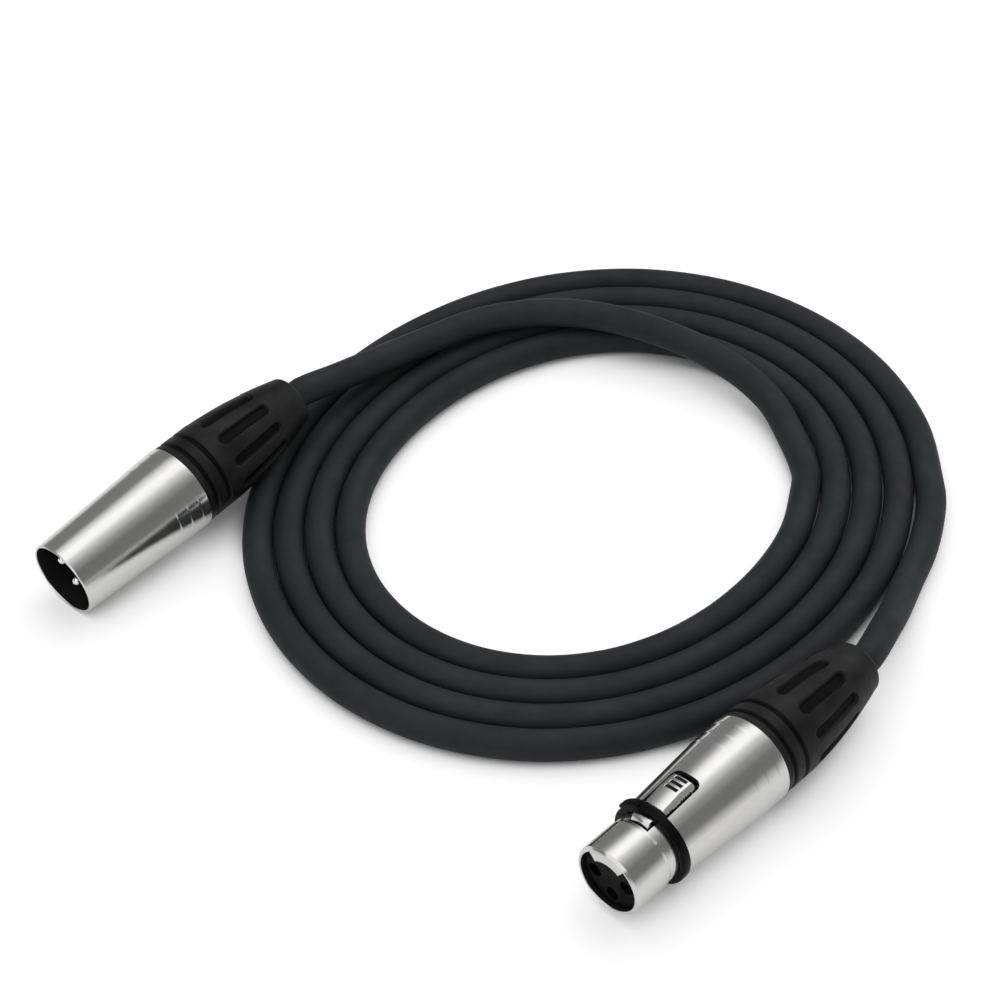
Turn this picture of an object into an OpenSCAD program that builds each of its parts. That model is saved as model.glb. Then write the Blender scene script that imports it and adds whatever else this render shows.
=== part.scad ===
// A microphone cable wound into a flat coil, with a three-pole male connector
// on one end and a three-pole female connector on the other.
// Millimetres. +Z is up and the table is z = 0. Both connectors lie along Y.
// Along each connector, s is the distance behind its mouth or nose face and
// phi is the angle round its axis, 0 to the side and 90 upwards.

/* [Cable] */
// Outer diameter of the cable's jacket
cable_d = 6.6; // [6.3:0.1:6.8]
// Outer diameter of an insulated core
core_d = 1.5; // [1.2:0.1:1.5]
// Diameter of the twisted shield tail
shield_d = 1.2; // [0.8:0.1:1.4]
// Distance of each core from the cable's axis where the jacket ends
core_spread = 1.15; // [1.1:0.05:1.5]

/* [Contacts] */
// Diameter of a male contact pin
pin_d = 2.4; // [2.2:0.05:2.5]
// Diameter of the pin's collar in its insert
pin_collar_d = 3; // [2.8:0.1:3.4]
// Distance of every contact from the connector's axis
contact_r = 3.95; // [3.8:0.05:4.1]
// Distance of the pins' tips behind the male rim
pin_setback = 2.6; // [1.5:0.1:4]
// Bore of a female contact socket
socket_bore = 2.5; // [2.4:0.05:2.7]
// Outer diameter of a female contact socket
socket_d = 3.8; // [3.4:0.1:4]
// Depth of a socket's bore
socket_depth = 13.8; // [12:0.2:15]
// Diameter of the holes in the female face
face_hole_d = 3; // [2.9:0.1:3.2]
// Distance of a socket's mouth behind the female face
socket_setback = 1.2; // [0.8:0.1:2]
// Outer diameter of a solder cup
cup_d = 2.8; // [2.6:0.1:3]
// Bore of a solder cup
cup_bore = 2; // [1.7:0.1:2.1]
// Depth of a solder cup's bore
cup_depth = 2.5; // [2:0.1:3.5]
// How far a solder cup stands out behind its insert
cup_reach = 3; // [2.6:0.1:4]

/* [Male shell] */
// Inner diameter of the male mouth
mouth_d = 16.1; // [15.9:0.05:16.3]
// Depth of the male mouth, down to the insert's face
mouth_depth = 15; // [14:0.5:16]
// Wall of the male rim
rim_wall = 0.55; // [0.4:0.05:0.7]
// Length of the male shell
male_shell_len = 34; // [33:0.5:38]
// Angle of the key in the mouth
key_phi = 30; // [0:5:60]
// Height of the key inside the mouth
key_height = 0.25; // [0.1:0.05:0.28]
// Width of the key
key_w = 1.2; // [0.8:0.1:2]
// Length of the key
key_len = 6; // [3:0.5:10]

/* [Female shell] */
// Gap between a nose and the mouth that takes it
nose_gap = 0.3; // [0.25:0.05:0.4]
// Length of the nose's full diameter
nose_full_len = 8.9; // [8.2:0.1:9]
// Length of the nose in front of the ring
nose_len = 11.9; // [11.7:0.1:12.5]
// How much the nose is relieved behind its full diameter
nose_relief = 0.2; // [0.1:0.05:0.25]
// Wall of the nose
nose_wall = 0.95; // [0.9:0.05:1.3]
// Chamfer on the nose's edge
nose_chamfer = 0.6; // [0.3:0.1:0.7]
// Depth of the insert's face in the nose
face_recess = 1; // [0.6:0.1:1.6]
// How far the lip on top of the nose reaches inwards
lip_reach = 2.1; // [1.6:0.1:2.3]
// Angle at which the lip starts
lip_from = 58; // [50:2:66]
// Angle that the lip spans
lip_span = 74; // [60:2:84]
// How much wider the shell is behind the ring than its bore, in radius
front_rise = 0.1; // [0.1:0.05:0.3]
// Length of the female shell with its nose
female_shell_len = 42; // [41.5:0.5:46]
// Distance from the nose's face to the insert's shoulder
female_shoulder = 19; // [18.5:0.5:19.5]

/* [Both shells] */
// Wall at the rear of both shells
shell_wall = 1.65; // [1.5:0.05:1.8]
// How much wider both shells are bored behind the insert's shoulder, in radius
bore_step = 0.25; // [0.2:0.05:0.35]
// Height of each of the three fine steps near the rear
step_height = 0.1; // [0.05:0.05:0.15]
// Distance between the fine steps
step_pitch = 3; // [2:0.5:3]
// Distance of the last step from the shell's rear
step_setback = 2.5; // [1.5:0.5:3]
// Chamfer on the shells' front edges
rim_chamfer = 0.25; // [0.1:0.05:0.4]

/* [Ring] */
// Length of the locating ring
ring_len = 2; // [1.6:0.1:2.4]
// How far the locating ring stands out of the shell behind it
ring_step = 0.5; // [0.3:0.05:0.8]
// Height of the ring's raised pad
ring_pad_height = 0.7; // [0.4:0.1:1]
// Angle at which the ring's pad starts
ring_pad_from = 112; // [104:2:120]
// Angle that the ring's pad spans
ring_pad_span = 36; // [20:2:50]

/* [Latch] */
// Angle of the latch round the female shell
latch_phi = 99; // [92:1:105]
// Width of the latch where it is pushed
latch_w = 5.8; // [5:0.1:5.9]
// Length of the latch that shows
latch_len = 9.5; // [9.1:0.1:9.7]
// How far the latch stands out of the shell
latch_proud = 0.55; // [0.3:0.05:0.8]
// Gap between the latch and the sides of its slot
slot_gap = 0.55; // [0.5:0.05:0.7]
// Radius of the slot's rear corners
slot_corner = 1.6; // [1:0.1:1.6]
// Width of the hook and of the bar that carries it
hook_w = 4.2; // [3.6:0.1:4.6]
// Height of the hook above the nose's full diameter
hook_height = 0.5; // [0.3:0.05:0.6]
// Length of the hook along the nose
hook_len = 1.6; // [1.2:0.1:1.7]
// Depth of the lever's underside below the shell's bore
lever_depth = 2.3; // [2.25:0.05:2.4]
// Gap between the latch's bar and the ring's seat above it
bar_drop = 0.3; // [0.3:0.05:0.4]
// Distance of the latch's pivot behind the part that shows
pivot_back = 2.7; // [2.4:0.1:3]
// Depth of the pivot below the shell's bore
pivot_depth = 1.7; // [1.65:0.05:1.75]
// Diameter of the pivot pin
pivot_d = 1.2; // [1:0.05:1.25]
// Gap between each end of the pivot pin and the shell
pivot_end_gap = 0.15; // [0.1:0.05:0.3]
// Width of a grip groove along the latch
grip_w = 0.55; // [0.4:0.05:0.7]
// Distance between the grip grooves
grip_pitch = 1.4; // [1.1:0.1:1.6]
// Length of a grip groove across the latch
grip_len = 2.8; // [2:0.1:3.4]
// Depth of a grip groove
grip_depth = 0.35; // [0.2:0.05:0.4]
// Thickness of the latch's leaf spring
leaf_t = 0.25; // [0.2:0.05:0.3]
// Width of the latch's leaf spring
leaf_w = 3; // [2:0.1:3.6]
// Depth of the channel's floor below the shell's bore
channel_depth = 3.9; // [3.85:0.05:4.1]

/* [Ground clips] */
// Width of a ground clip
clip_w = 3.6; // [3:0.1:4]
// Thickness of a ground clip
clip_t = 0.3; // [0.2:0.05:0.35]
// Length of a ground clip
clip_len = 5; // [4:0.1:5.5]
// Depth of the pocket that holds a ground clip
clip_pocket = 1; // [0.8:0.05:1.1]

/* [Cable grip] */
// How far the gland nut screws into the shell
spigot_len = 8; // [7:0.5:8]
// Wall of the gland nut where it screws in
spigot_wall = 0.95; // [0.8:0.05:1.1]
// How much smaller the gland nut is under the boot, in radius
nut_step = 0.15; // [0.1:0.05:0.3]
// Length of the gland nut's straight part under the boot
nut_straight = 8.5; // [6.5:0.5:9.5]
// Length of the gland nut under the boot
nut_len = 18; // [16:0.5:19]
// How much smaller the gland nut's rear end is, in radius
nut_taper = 1.2; // [0.8:0.1:1.6]
// Wall of the chuck's front sleeve
chuck_wall = 0.95; // [0.8:0.05:1.1]
// Length of the chuck's jaws
jaw_len = 12.5; // [10.5:0.5:13.5]
// Outer diameter of the jaws at their rear
jaw_rear_d = 10; // [9.4:0.1:10.4]
// Width of the slots between the jaws
jaw_slot = 0.8; // [0.5:0.1:1]
// Distance from the shell's rear to the end of the jacket
jacket_start = 1; // [0.8:0.1:2]

/* [Boot] */
// Length of the boot
boot_len = 34; // [32:0.5:36]
// How far the boot lies below the shell where they meet
boot_drop = 0.2; // [0.1:0.05:0.3]
// Outer diameter of the boot before its rounded end
boot_end_d = 11.4; // [10.8:0.1:12]
// Length of the boot before it starts to taper
boot_straight = 8.5; // [6.5:0.5:10]
// Steepness of the boot's curve, 1 for a cone
boot_curve = 1.7; // [1.5:0.05:1.8]
// Radius of the boot's rounded end
boot_round = 1.1; // [0.6:0.1:1.3]
// Distance of the first groove from the shell
groove_at = 2.1; // [1.6:0.1:2.6]
// Distance between the boot's two grooves
groove_pitch = 3.5; // [2.7:0.1:3.8]
// Width of the boot's grooves
groove_w = 0.8; // [0.5:0.1:1]
// Depth of the boot's grooves
groove_depth = 0.45; // [0.25:0.05:0.55]
// Number of long recesses round the boot
recess_count = 10; // [8:1:12]
// Angle of one of the recesses round the boot
recess_phi = 30; // [20:1:40]
// Distance from the shell to the recesses
recess_from = 10; // [9:0.5:11.5]
// Length of the recesses
recess_len = 14.5; // [11:0.5:15]
// Radius of the tool that cuts the recesses
recess_r = 1.4; // [1.2:0.05:1.5]
// Depth of the recesses at their ends
recess_depth = 0.55; // [0.35:0.05:0.65]

/* [Coil] */
// Number of turns in the coil
coil_turns = 4; // [4:1:4]
// Radius of the coil where it starts
coil_r = 48.03; // [47:0.01:49]
// How much each turn is wider than the one inside it
coil_pitch = 6.84; // [6.82:0.02:6.92]
// How much the coil is longer along Y than across
coil_oval = 4.65; // [4.25:0.05:4.95]
// How much the oval grows with each turn
coil_oval_growth = 0.13; // [0:0.01:0.2]
// How far the turns drift along Y
coil_drift = 0.15; // [0:0.01:0.2]
// Centre of the coil across the table
coil_x = -7.3; // [-7.6:0.1:-7]
// Centre of the coil along the table
coil_y = 51.6; // [51.3:0.1:51.9]
// Angle at which the coil starts and ends
coil_phase = 45; // [43:0.5:47]

/* [Layout] */
// Place of the male connector's axis across the table
male_x = -69.2; // [-70:0.1:-68.2]
// Place of the male rim along the table
male_y = -45.5; // [-46.5:0.1:-44.7]
// Tilt of the male connector, up towards its boot
male_tilt = 5.2; // [5.2:0.1:5.8]
// Angle of the male connector's first pin round its axis
male_phi = 174; // [165:1:185]
// Place of the female nose across the table
female_x = 68; // [67.6:0.1:69]
// Place of the female nose along the table
female_y = -29.6; // [-30.4:0.1:-29]
// Turn of the female connector on the table
female_yaw = -1.2; // [-2:0.1:0]

/* [Clearances] */
// Gap between pieces that are seated in each other
seat_gap = 0.05; // [0.03:0.01:0.06]
// Gap round the latch where it moves
move_gap = 0.3; // [0.3:0.05:0.4]
// Gap between the latch and its pivot pin
pivot_gap = 0.05; // [0.03:0.01:0.08]
// Gap between the jacket and the boot's hole
boot_hole_gap = 0.2; // [0.1:0.05:0.4]

/* [Hidden] */
$fn = 64;
EPS = 0.01;
TWO = 2;
HALF_TURN = 180;
QUARTER = 90;

// Angles of the three contacts from the first, and their names' order
CONTACT_STEP = 90;
CONTACTS = 3;

cable_r = cable_d / 2;
mouth_r = mouth_d / 2;
male_front_r = mouth_r + rim_wall;
shell_bore_r = mouth_r + bore_step;
shell_rear_r = shell_bore_r + shell_wall;
female_front_r = shell_bore_r + front_rise;
nose_r = mouth_r - nose_gap;
nose_bore_r = nose_r - nose_wall;
ring_seat_r = nose_r - nose_relief;
ring_front = nose_len;
ring_r = female_front_r + ring_step;
shell_front = nose_len + ring_len + TWO * seat_gap;

// The insert runs back to the chuck, which is pressed by the gland nut
male_insert_end = male_shell_len - spigot_len - seat_gap;
female_insert_end = female_shell_len - spigot_len - seat_gap;
insert_r = shell_bore_r - seat_gap;
face_r = nose_bore_r - seat_gap;
face_s = face_recess + seat_gap;

// The latch, measured along the female shell
latch_front = shell_front + TWO * move_gap - TWO * seat_gap;
latch_rear = latch_front + latch_len;
slot_rear = latch_rear + slot_gap;
slot_w = latch_w + TWO * slot_gap;
pivot_s = latch_rear + pivot_back;
pivot_r = shell_bore_r - pivot_depth;
pivot_chord = TWO * sqrt(pow(shell_bore_r, 2) - pow(pivot_r + pivot_d / 2, 2));
lever_rear = pivot_s + pivot_d;
lever_base_r = shell_bore_r - lever_depth;
channel_r = shell_bore_r - channel_depth;
hook_front = ring_front - seat_gap - move_gap - hook_len;
window_front = hook_front - move_gap - TWO * seat_gap;
window_w = hook_w + TWO * (move_gap + seat_gap);
channel_w = latch_w + TWO * move_gap;
channel_front = window_front - move_gap;
channel_rear = lever_rear + move_gap;
bar_top_r = ring_seat_r - bar_drop;
hook_top_r = nose_r + hook_height;
arm_top_r = shell_bore_r - TWO * move_gap;
grip_mid = latch_front + latch_len * 0.67;

// The rear of each connector, measured behind the shell's rear
spigot_r = shell_bore_r - seat_gap;
nut_r = spigot_r - nut_step;
nut_rear_r = nut_r - nut_taper;
nut_bore_r = spigot_r - spigot_wall;
chuck_r = nut_bore_r - seat_gap;
jaw_rear_r = jaw_rear_d / 2;
jaw_bore_r = cable_r + seat_gap;
nut_hole_r = cable_r + TWO * boot_hole_gap;
boot_hole_r = cable_r + boot_hole_gap;
boot_r0 = shell_rear_r - boot_drop;
boot_r1 = boot_end_d / 2;
BOOT_STEP = 2;
ROUND_STEP = 30;

// Places of the connectors on the table
male_z = male_front_r * cos(male_tilt);
female_z = shell_rear_r;
male_dir = [0, cos(male_tilt), sin(male_tilt)];
female_dir = [-sin(female_yaw), cos(female_yaw), 0];
male_boot_end = [male_x, male_y, male_z] + (male_shell_len + boot_len) * male_dir;
female_boot_end = [female_x, female_y, female_z] + (female_shell_len + boot_len) * female_dir;

// The coil lies flat, runs clockwise seen from above and grows outwards
RINGS_PER_TURN = 24;
COIL_SIDES = 6;
coil_steps = RINGS_PER_TURN * coil_turns;
function coil_angle(t) = coil_phase - 360 * t;
function coil_radius(t) =
    coil_r + coil_pitch * t - (coil_oval + coil_oval_growth * t) * cos(TWO * coil_angle(t));
function coil_point(t) = [
    coil_x + coil_radius(t) * cos(coil_angle(t)),
    coil_y + coil_drift * t + coil_radius(t) * sin(coil_angle(t)),
    cable_r
];
SMALL_TURN = 0.001;
function coil_tangent(t) = unit(coil_point(t + SMALL_TURN) - coil_point(t - SMALL_TURN));
coil_start = coil_point(0) - cable_d * coil_tangent(0);
coil_end = coil_point(coil_turns) + cable_d * coil_tangent(coil_turns);
coil_route = concat(
    [coil_start],
    [for (i = [0 : coil_steps]) coil_point(i / RINGS_PER_TURN)],
    [coil_end]
);

// The male lead goes up over the far turns and comes down inside them
MALE_ROUTE = [
    [-68.3, 35.3, 13.2],
    [-67.1, 48.1, 11.1],
    [-64.7, 60.8, 10.1],
    [-60.7, 73.6, 10.1],
    [-53.7, 84.5, 10.1],
    [-44.1, 92.8, 10.1],
    [-31.9, 98.3, 10.1],
    [-19.2, 101.7, 9.4],
    [-7.2, 103.2, 7.9],
    [4, 101.9, 6],
    [13.8, 97.2, 4.2]
];
// The female lead leaves the outer turn and rises to the boot
FEMALE_ROUTE = [
    [56, 89.1, 3.3],
    [59.8, 78.4, 3.6],
    [63.7, 68.3, 5.5],
    [67.1, 58.7, 8.5]
];
LEAD_SIDES = 10;
male_lead_route = concat(
    [male_boot_end, male_boot_end + cable_r * male_dir],
    MALE_ROUTE,
    [coil_start]
);
female_lead_route = concat(
    [coil_end],
    FEMALE_ROUTE,
    [female_boot_end + cable_r * female_dir, female_boot_end]
);

// Small vector functions
function unit(v) = v / norm(v);
function last(list) = list[len(list) - 1];
function total(list, i = 0) = i < len(list) ? list[i] + total(list, i + 1) : 0;
function route_length(p) = total([for (i = [1 : len(p) - 1]) norm(p[i] - p[i - 1])]);

// Tangents along a route, square to what its two ends meet
function tangents(p, first_dir, last_dir) = [
    for (i = [0 : len(p) - 1])
        i == 0 ? first_dir : i == len(p) - 1 ? last_dir : unit(p[i + 1] - p[i - 1])
];

// Points of one ring: square to t, with its first point towards up
function ring_points(centre, t, up, r, sides) =
    let (side = unit(cross(t, up)), top = cross(side, t))
    [for (k = [0 : sides - 1])
        centre + r * (cos(360 * k / sides) * top + sin(360 * k / sides) * side)];

// A tube swept along a route, as one closed polyhedron of triangles
module tube(route, first_dir, last_dir, r, sides, up) {
    dirs = tangents(route, first_dir, last_dir);
    rings = len(route);
    points = [
        for (i = [0 : rings - 1])
            each ring_points(route[i], dirs[i], up, r, sides)
    ];
    walls = [
        for (i = [0 : rings - 2])
            for (k = [0 : sides - 1])
                let (a = i * sides + k, b = i * sides + (k + 1) % sides)
                each [[a, b, b + sides], [a, b + sides, a + sides]]
    ];
    head = [for (k = [1 : sides - 2]) [0, k + 1, k]];
    base = (rings - 1) * sides;
    tail = [for (k = [1 : sides - 2]) [base, base + k, base + k + 1]];
    polyhedron(points = points, faces = concat(walls, head, tail));
}

// Least gap between a turn's outer flank and the inner flank of the next
flank = cable_r * cos(HALF_TURN / COIL_SIDES);
function coil_side(t) = unit(cross(coil_tangent(t), [0, 0, 1]));
function flank_point(i, out) =
    coil_point(i / RINGS_PER_TURN) - out * flank * coil_side(i / RINGS_PER_TURN);
function point_to_edge(p, a, b) =
    let (ab = b - a, t = max(0, min(1, (p - a) * ab / (ab * ab))))
    norm(p - a - t * ab);
coil_gap = min([
    for (i = [0 : coil_steps - RINGS_PER_TURN])
        for (j = [i + RINGS_PER_TURN - 3 : min(coil_steps - 1, i + RINGS_PER_TURN + 2)])
            point_to_edge(flank_point(i, 1), flank_point(j, -1), flank_point(j + 1, -1))
]);
echo(coil_least_gap_mm = coil_gap);
echo(cable_length_mm = route_length(coil_route) + route_length(male_lead_route)
    + route_length(female_lead_route) + TWO * (boot_len - jacket_start));

// Placing: a connector is drawn along Z, from its front face at z = 0
module place_male() {
    translate([male_x, male_y, male_z])
        rotate([male_tilt - QUARTER, 0, 0])
            children();
}
module place_female() {
    translate([female_x, female_y, female_z])
        rotate([-QUARTER, 0, female_yaw])
            children();
}
// Turns a piece to an angle round the connector: its X points outwards
module at_phi(phi) {
    rotate([0, 0, -phi])
        children();
}
// Draws a flat outline of [radius, s] points, w thick across the radius
module plate(w, outline) {
    rotate([QUARTER, 0, 0])
        linear_extrude(height = w, center = true)
            polygon(outline);
}
// Turns a closed outline of [radius, s] points round the axis
module turned(outline) {
    rotate_extrude()
        polygon(outline);
}
// A part of such a ring, from one angle over a span
module sector(from, span, outline) {
    rotate([0, 0, -from - span])
        rotate_extrude(angle = span)
            polygon(outline);
}
module drill(r, from, to) {
    translate([0, 0, from])
        cylinder(r = r, h = to - from);
}

// The outside of a shell from its front edge back, with the three fine steps
function step_s(length, k) = length - step_setback - (2 - k) * step_pitch;
function shell_outside(front, front_r, length) = concat(
    [[front_r - rim_chamfer, front], [front_r, front + rim_chamfer]],
    [for (k = [0 : 2]) each [
        [shell_rear_r - (3 - k) * step_height, step_s(length, k)],
        [shell_rear_r - (2 - k) * step_height, step_s(length, k)]
    ]],
    [[shell_rear_r, length]]
);

module male_shell() {
    color([0.78, 0.78, 0.76])
        place_male() {
            difference() {
                turned(concat([[0, 0]], shell_outside(0, male_front_r, male_shell_len),
                    [[0, male_shell_len]]));
                drill(mouth_r, -EPS, mouth_depth + EPS);
                drill(shell_bore_r, mouth_depth, male_shell_len + EPS);
            }
            at_phi(key_phi)
                intersection() {
                    translate([0, -key_w / 2, rim_chamfer])
                        cube([TWO * mouth_r, key_w, key_len]);
                    turned([
                        [mouth_r - key_height, 0],
                        [mouth_r + key_height, 0],
                        [mouth_r + key_height, mouth_depth],
                        [mouth_r - key_height, mouth_depth]
                    ]);
                }
        }
}

// Pocket and clip share one outline: the clip bows out to touch the bore
clip_floor_r = insert_r - clip_pocket;
module clip_pocket_cut(shoulder, insert_end) {
    s0 = (shoulder + insert_end - clip_len) / 2;
    translate([clip_floor_r, -clip_w / 2 - seat_gap, s0 - seat_gap])
        cube([insert_r, clip_w + TWO * seat_gap, clip_len + TWO * seat_gap]);
}
module ground_clip(shoulder, insert_end) {
    s0 = (shoulder + insert_end - clip_len) / 2;
    low = clip_floor_r + seat_gap;
    high = sqrt(pow(shell_bore_r - seat_gap, 2) - pow(clip_w / 2, 2));
    color("silver")
        plate(clip_w, [
            [low, s0],
            [low + clip_t, s0],
            [high, s0 + clip_len / 2],
            [low + clip_t, s0 + clip_len],
            [low, s0 + clip_len],
            [high - clip_t, s0 + clip_len / 2]
        ]);
}

module male_insert() {
    collar_hole_r = pin_collar_d / 2 + seat_gap;
    color([0.1, 0.1, 0.1])
        place_male()
            difference() {
                drill(insert_r, mouth_depth + seat_gap, male_insert_end);
                for (k = [0 : CONTACTS - 1])
                    at_phi(male_phi + k * CONTACT_STEP)
                        translate([contact_r, 0, 0])
                            drill(collar_hole_r, mouth_depth, male_insert_end + EPS);
                at_phi(male_phi - CONTACT_STEP)
                    clip_pocket_cut(mouth_depth, male_insert_end);
            }
}

// A contact's solder cup, open to the rear
module solder_cup(insert_end) {
    difference() {
        drill(cup_d / 2, insert_end - EPS, insert_end + cup_reach);
        drill(cup_bore / 2, insert_end + cup_reach - cup_depth, insert_end + cup_reach + EPS);
    }
}
module male_pin(k) {
    color("gainsboro")
        place_male()
            at_phi(male_phi + k * CONTACT_STEP)
                translate([contact_r, 0, 0]) {
                    translate([0, 0, pin_setback + pin_d / 2])
                        sphere(d = pin_d);
                    drill(pin_d / 2, pin_setback + pin_d / 2, mouth_depth + TWO * seat_gap);
                    drill(pin_collar_d / 2, mouth_depth + seat_gap, male_insert_end);
                    solder_cup(male_insert_end);
                }
}
module male_pin_1() { male_pin(0); }
module male_pin_2() { male_pin(1); }
module male_pin_3() { male_pin(2); }

module male_ground_clip() {
    place_male()
        at_phi(male_phi - CONTACT_STEP)
            ground_clip(mouth_depth, male_insert_end);
}

// The rear of both connectors: chuck, gland nut, jacket and boot
module chuck() {
    color([0.85, 0.85, 0.8])
        difference() {
            turned([
                [chuck_r, -spigot_len],
                [chuck_r, 0],
                [jaw_rear_r, jaw_len],
                [jaw_bore_r, jaw_len],
                [jaw_bore_r, jacket_start - seat_gap],
                [chuck_r - chuck_wall, -seat_gap],
                [chuck_r - chuck_wall, -spigot_len]
            ]);
            for (a = [0, QUARTER])
                rotate([0, 0, a + QUARTER / 2])
                    translate([-chuck_r, -jaw_slot / 2, jacket_start + jaw_slot])
                        cube([TWO * chuck_r, jaw_slot, jaw_len]);
        }
}
module gland_nut() {
    color([0.2, 0.2, 0.2])
        turned([
            [spigot_r, -spigot_len],
            [spigot_r, -seat_gap],
            [nut_r, -seat_gap],
            [nut_r, nut_straight],
            [nut_rear_r, nut_len],
            [nut_hole_r, nut_len],
            [nut_hole_r, jaw_len + seat_gap],
            [jaw_rear_r + seat_gap, jaw_len + seat_gap],
            [nut_bore_r, seat_gap],
            [nut_bore_r, -spigot_len]
        ]);
}
module jacket_end() {
    color([0.13, 0.14, 0.14])
        drill(cable_r, jacket_start, boot_len);
}
function boot_radius(s) = s <= boot_straight ? boot_r0 : boot_r0
    - (boot_r0 - boot_r1) * pow((s - boot_straight) / (boot_len - boot_straight), boot_curve);
module boot() {
    round_s = boot_len - boot_round;
    round_r = boot_radius(round_s) - boot_round;
    recess_to = recess_from + recess_len;
    lift = recess_r - recess_depth;
    color([0.15, 0.15, 0.15])
        difference() {
            turned(concat(
                [[boot_r0, 0]],
                [for (s = [boot_straight : BOOT_STEP : round_s - BOOT_STEP / 2])
                    [boot_radius(s), s]],
                [for (a = [0 : ROUND_STEP : QUARTER])
                    [round_r + boot_round * cos(a), round_s + boot_round * sin(a)]],
                [[boot_hole_r, boot_len],
                 [boot_hole_r, nut_len + seat_gap],
                 [nut_rear_r + seat_gap, nut_len + seat_gap],
                 [nut_r + seat_gap, nut_straight],
                 [nut_r + seat_gap, 0]]
            ));
            for (s = [groove_at, groove_at + groove_pitch])
                turned([
                    [boot_r0 - groove_depth, s - groove_w / 2],
                    [boot_r0 + groove_depth, s - groove_w / 2],
                    [boot_r0 + groove_depth, s + groove_w / 2],
                    [boot_r0 - groove_depth, s + groove_w / 2]
                ]);
            for (k = [0 : recess_count - 1])
                at_phi(recess_phi + k * 360 / recess_count)
                    recess_tool(boot_radius(recess_from) + lift, boot_radius(recess_to) + lift);
        }
}
module recess_tool(r_from, r_to) {
    slope = atan((r_to - r_from) / recess_len);
    translate([r_from, 0, recess_from])
        rotate([0, slope, 0])
            cylinder(r = recess_r, h = recess_len / cos(slope));
}
module male_rear() {
    place_male()
        translate([0, 0, male_shell_len])
            children();
}
module female_rear() {
    place_female()
        translate([0, 0, female_shell_len])
            children();
}
module male_chuck() { male_rear() chuck(); }
module male_gland_nut() { male_rear() gland_nut(); }
module male_cable_end() { male_rear() jacket_end(); }
module male_boot() { male_rear() boot(); }
module female_chuck() { female_rear() chuck(); }
module female_gland_nut() { female_rear() gland_nut(); }
module female_cable_end() { female_rear() jacket_end(); }
module female_boot() { female_rear() boot(); }

// A core or shield tail, from its solder cup in to the end of the jacket
WIRE_SIDES = 8;
module wire(d, insert_end, shell_len) {
    cup_floor = insert_end + cup_reach - cup_depth;
    cup_end = insert_end + cup_reach;
    jacket = shell_len + jacket_start;
    route = [
        [contact_r, 0, cup_floor + seat_gap],
        [contact_r, 0, cup_end + d / 2],
        [(contact_r + core_spread) / 2, 0, (cup_end + jacket) / 2],
        [core_spread, 0, jacket - d / 2],
        [core_spread, 0, jacket]
    ];
    tube(route, [0, 0, 1], [0, 0, 1], d / 2, WIRE_SIDES, [0, 1, 0]);
}
module male_wire(k, d) {
    place_male()
        at_phi(male_phi + k * CONTACT_STEP)
            wire(d, male_insert_end, male_shell_len);
}
module female_wire(k, d) {
    place_female()
        at_phi(latch_phi + (k + 1) * CONTACT_STEP)
            wire(d, female_insert_end, female_shell_len);
}
module male_shield_tail() { color("peru") male_wire(0, shield_d); }
module male_core_hot() { color("firebrick") male_wire(1, core_d); }
module male_core_cold() { color("steelblue") male_wire(2, core_d); }
module female_shield_tail() { color("peru") female_wire(0, shield_d); }
module female_core_hot() { color("firebrick") female_wire(1, core_d); }
module female_core_cold() { color("steelblue") female_wire(2, core_d); }

// The latch's slot in the shell behind the ring, with rounded rear corners
module latch_slot_cut() {
    translate([channel_r, 0, 0])
        rotate([QUARTER, 0, QUARTER])
            linear_extrude(height = shell_rear_r)
                union() {
                    translate([-slot_w / 2, shell_front - EPS])
                        square([slot_w, slot_rear - slot_corner - shell_front]);
                    translate([slot_corner - slot_w / 2, shell_front])
                        square([slot_w - TWO * slot_corner, slot_rear - shell_front]);
                    for (x = [-1, 1])
                        translate([x * (slot_w / 2 - slot_corner), slot_rear - slot_corner])
                            circle(r = slot_corner);
                }
}
module female_shell() {
    color([0.78, 0.78, 0.76])
        place_female() {
            difference() {
                turned(concat(
                    [[0, 0],
                     [nose_r - nose_chamfer, 0],
                     [nose_r, nose_chamfer],
                     [nose_r, nose_full_len],
                     [ring_seat_r, nose_full_len],
                     [ring_seat_r, shell_front]],
                    shell_outside(shell_front, female_front_r, female_shell_len),
                    [[0, female_shell_len]]
                ));
                drill(nose_bore_r, -EPS, female_shoulder + EPS);
                drill(shell_bore_r, female_shoulder, female_shell_len + EPS);
                at_phi(latch_phi) {
                    translate([channel_r, -window_w / 2, window_front])
                        cube([nose_r, window_w, shell_front - window_front]);
                    latch_slot_cut();
                }
            }
            sector(lip_from, lip_span, [
                [nose_bore_r - lip_reach, 0],
                [nose_bore_r + seat_gap, 0],
                [nose_bore_r + seat_gap, face_recess],
                [nose_bore_r - lip_reach, face_recess]
            ]);
        }
}

module female_insert() {
    socket_hole_r = socket_d / 2 + seat_gap;
    color([0.1, 0.1, 0.1])
        place_female()
            difference() {
                turned([
                    [0, face_s],
                    [face_r, face_s],
                    [face_r, female_shoulder + seat_gap],
                    [insert_r, female_shoulder + seat_gap],
                    [insert_r, female_insert_end],
                    [0, female_insert_end]
                ]);
                for (k = [1 : CONTACTS])
                    at_phi(latch_phi + k * CONTACT_STEP)
                        translate([contact_r, 0, 0]) {
                            drill(face_hole_d / 2, 0, face_s + socket_setback + EPS);
                            drill(socket_hole_r, face_s + socket_setback, female_insert_end + EPS);
                        }
                at_phi(latch_phi) {
                    translate([channel_r, -channel_w / 2, channel_front])
                        cube([shell_bore_r, channel_w, channel_rear - channel_front]);
                    translate([pivot_r, 0, pivot_s])
                        rotate([QUARTER, 0, 0])
                            cylinder(r = pivot_d / 2 + seat_gap, h = TWO * shell_bore_r, center = true);
                }
                at_phi(latch_phi + TWO * CONTACT_STEP + CONTACT_STEP / 2)
                    clip_pocket_cut(female_shoulder, female_insert_end);
            }
}

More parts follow.
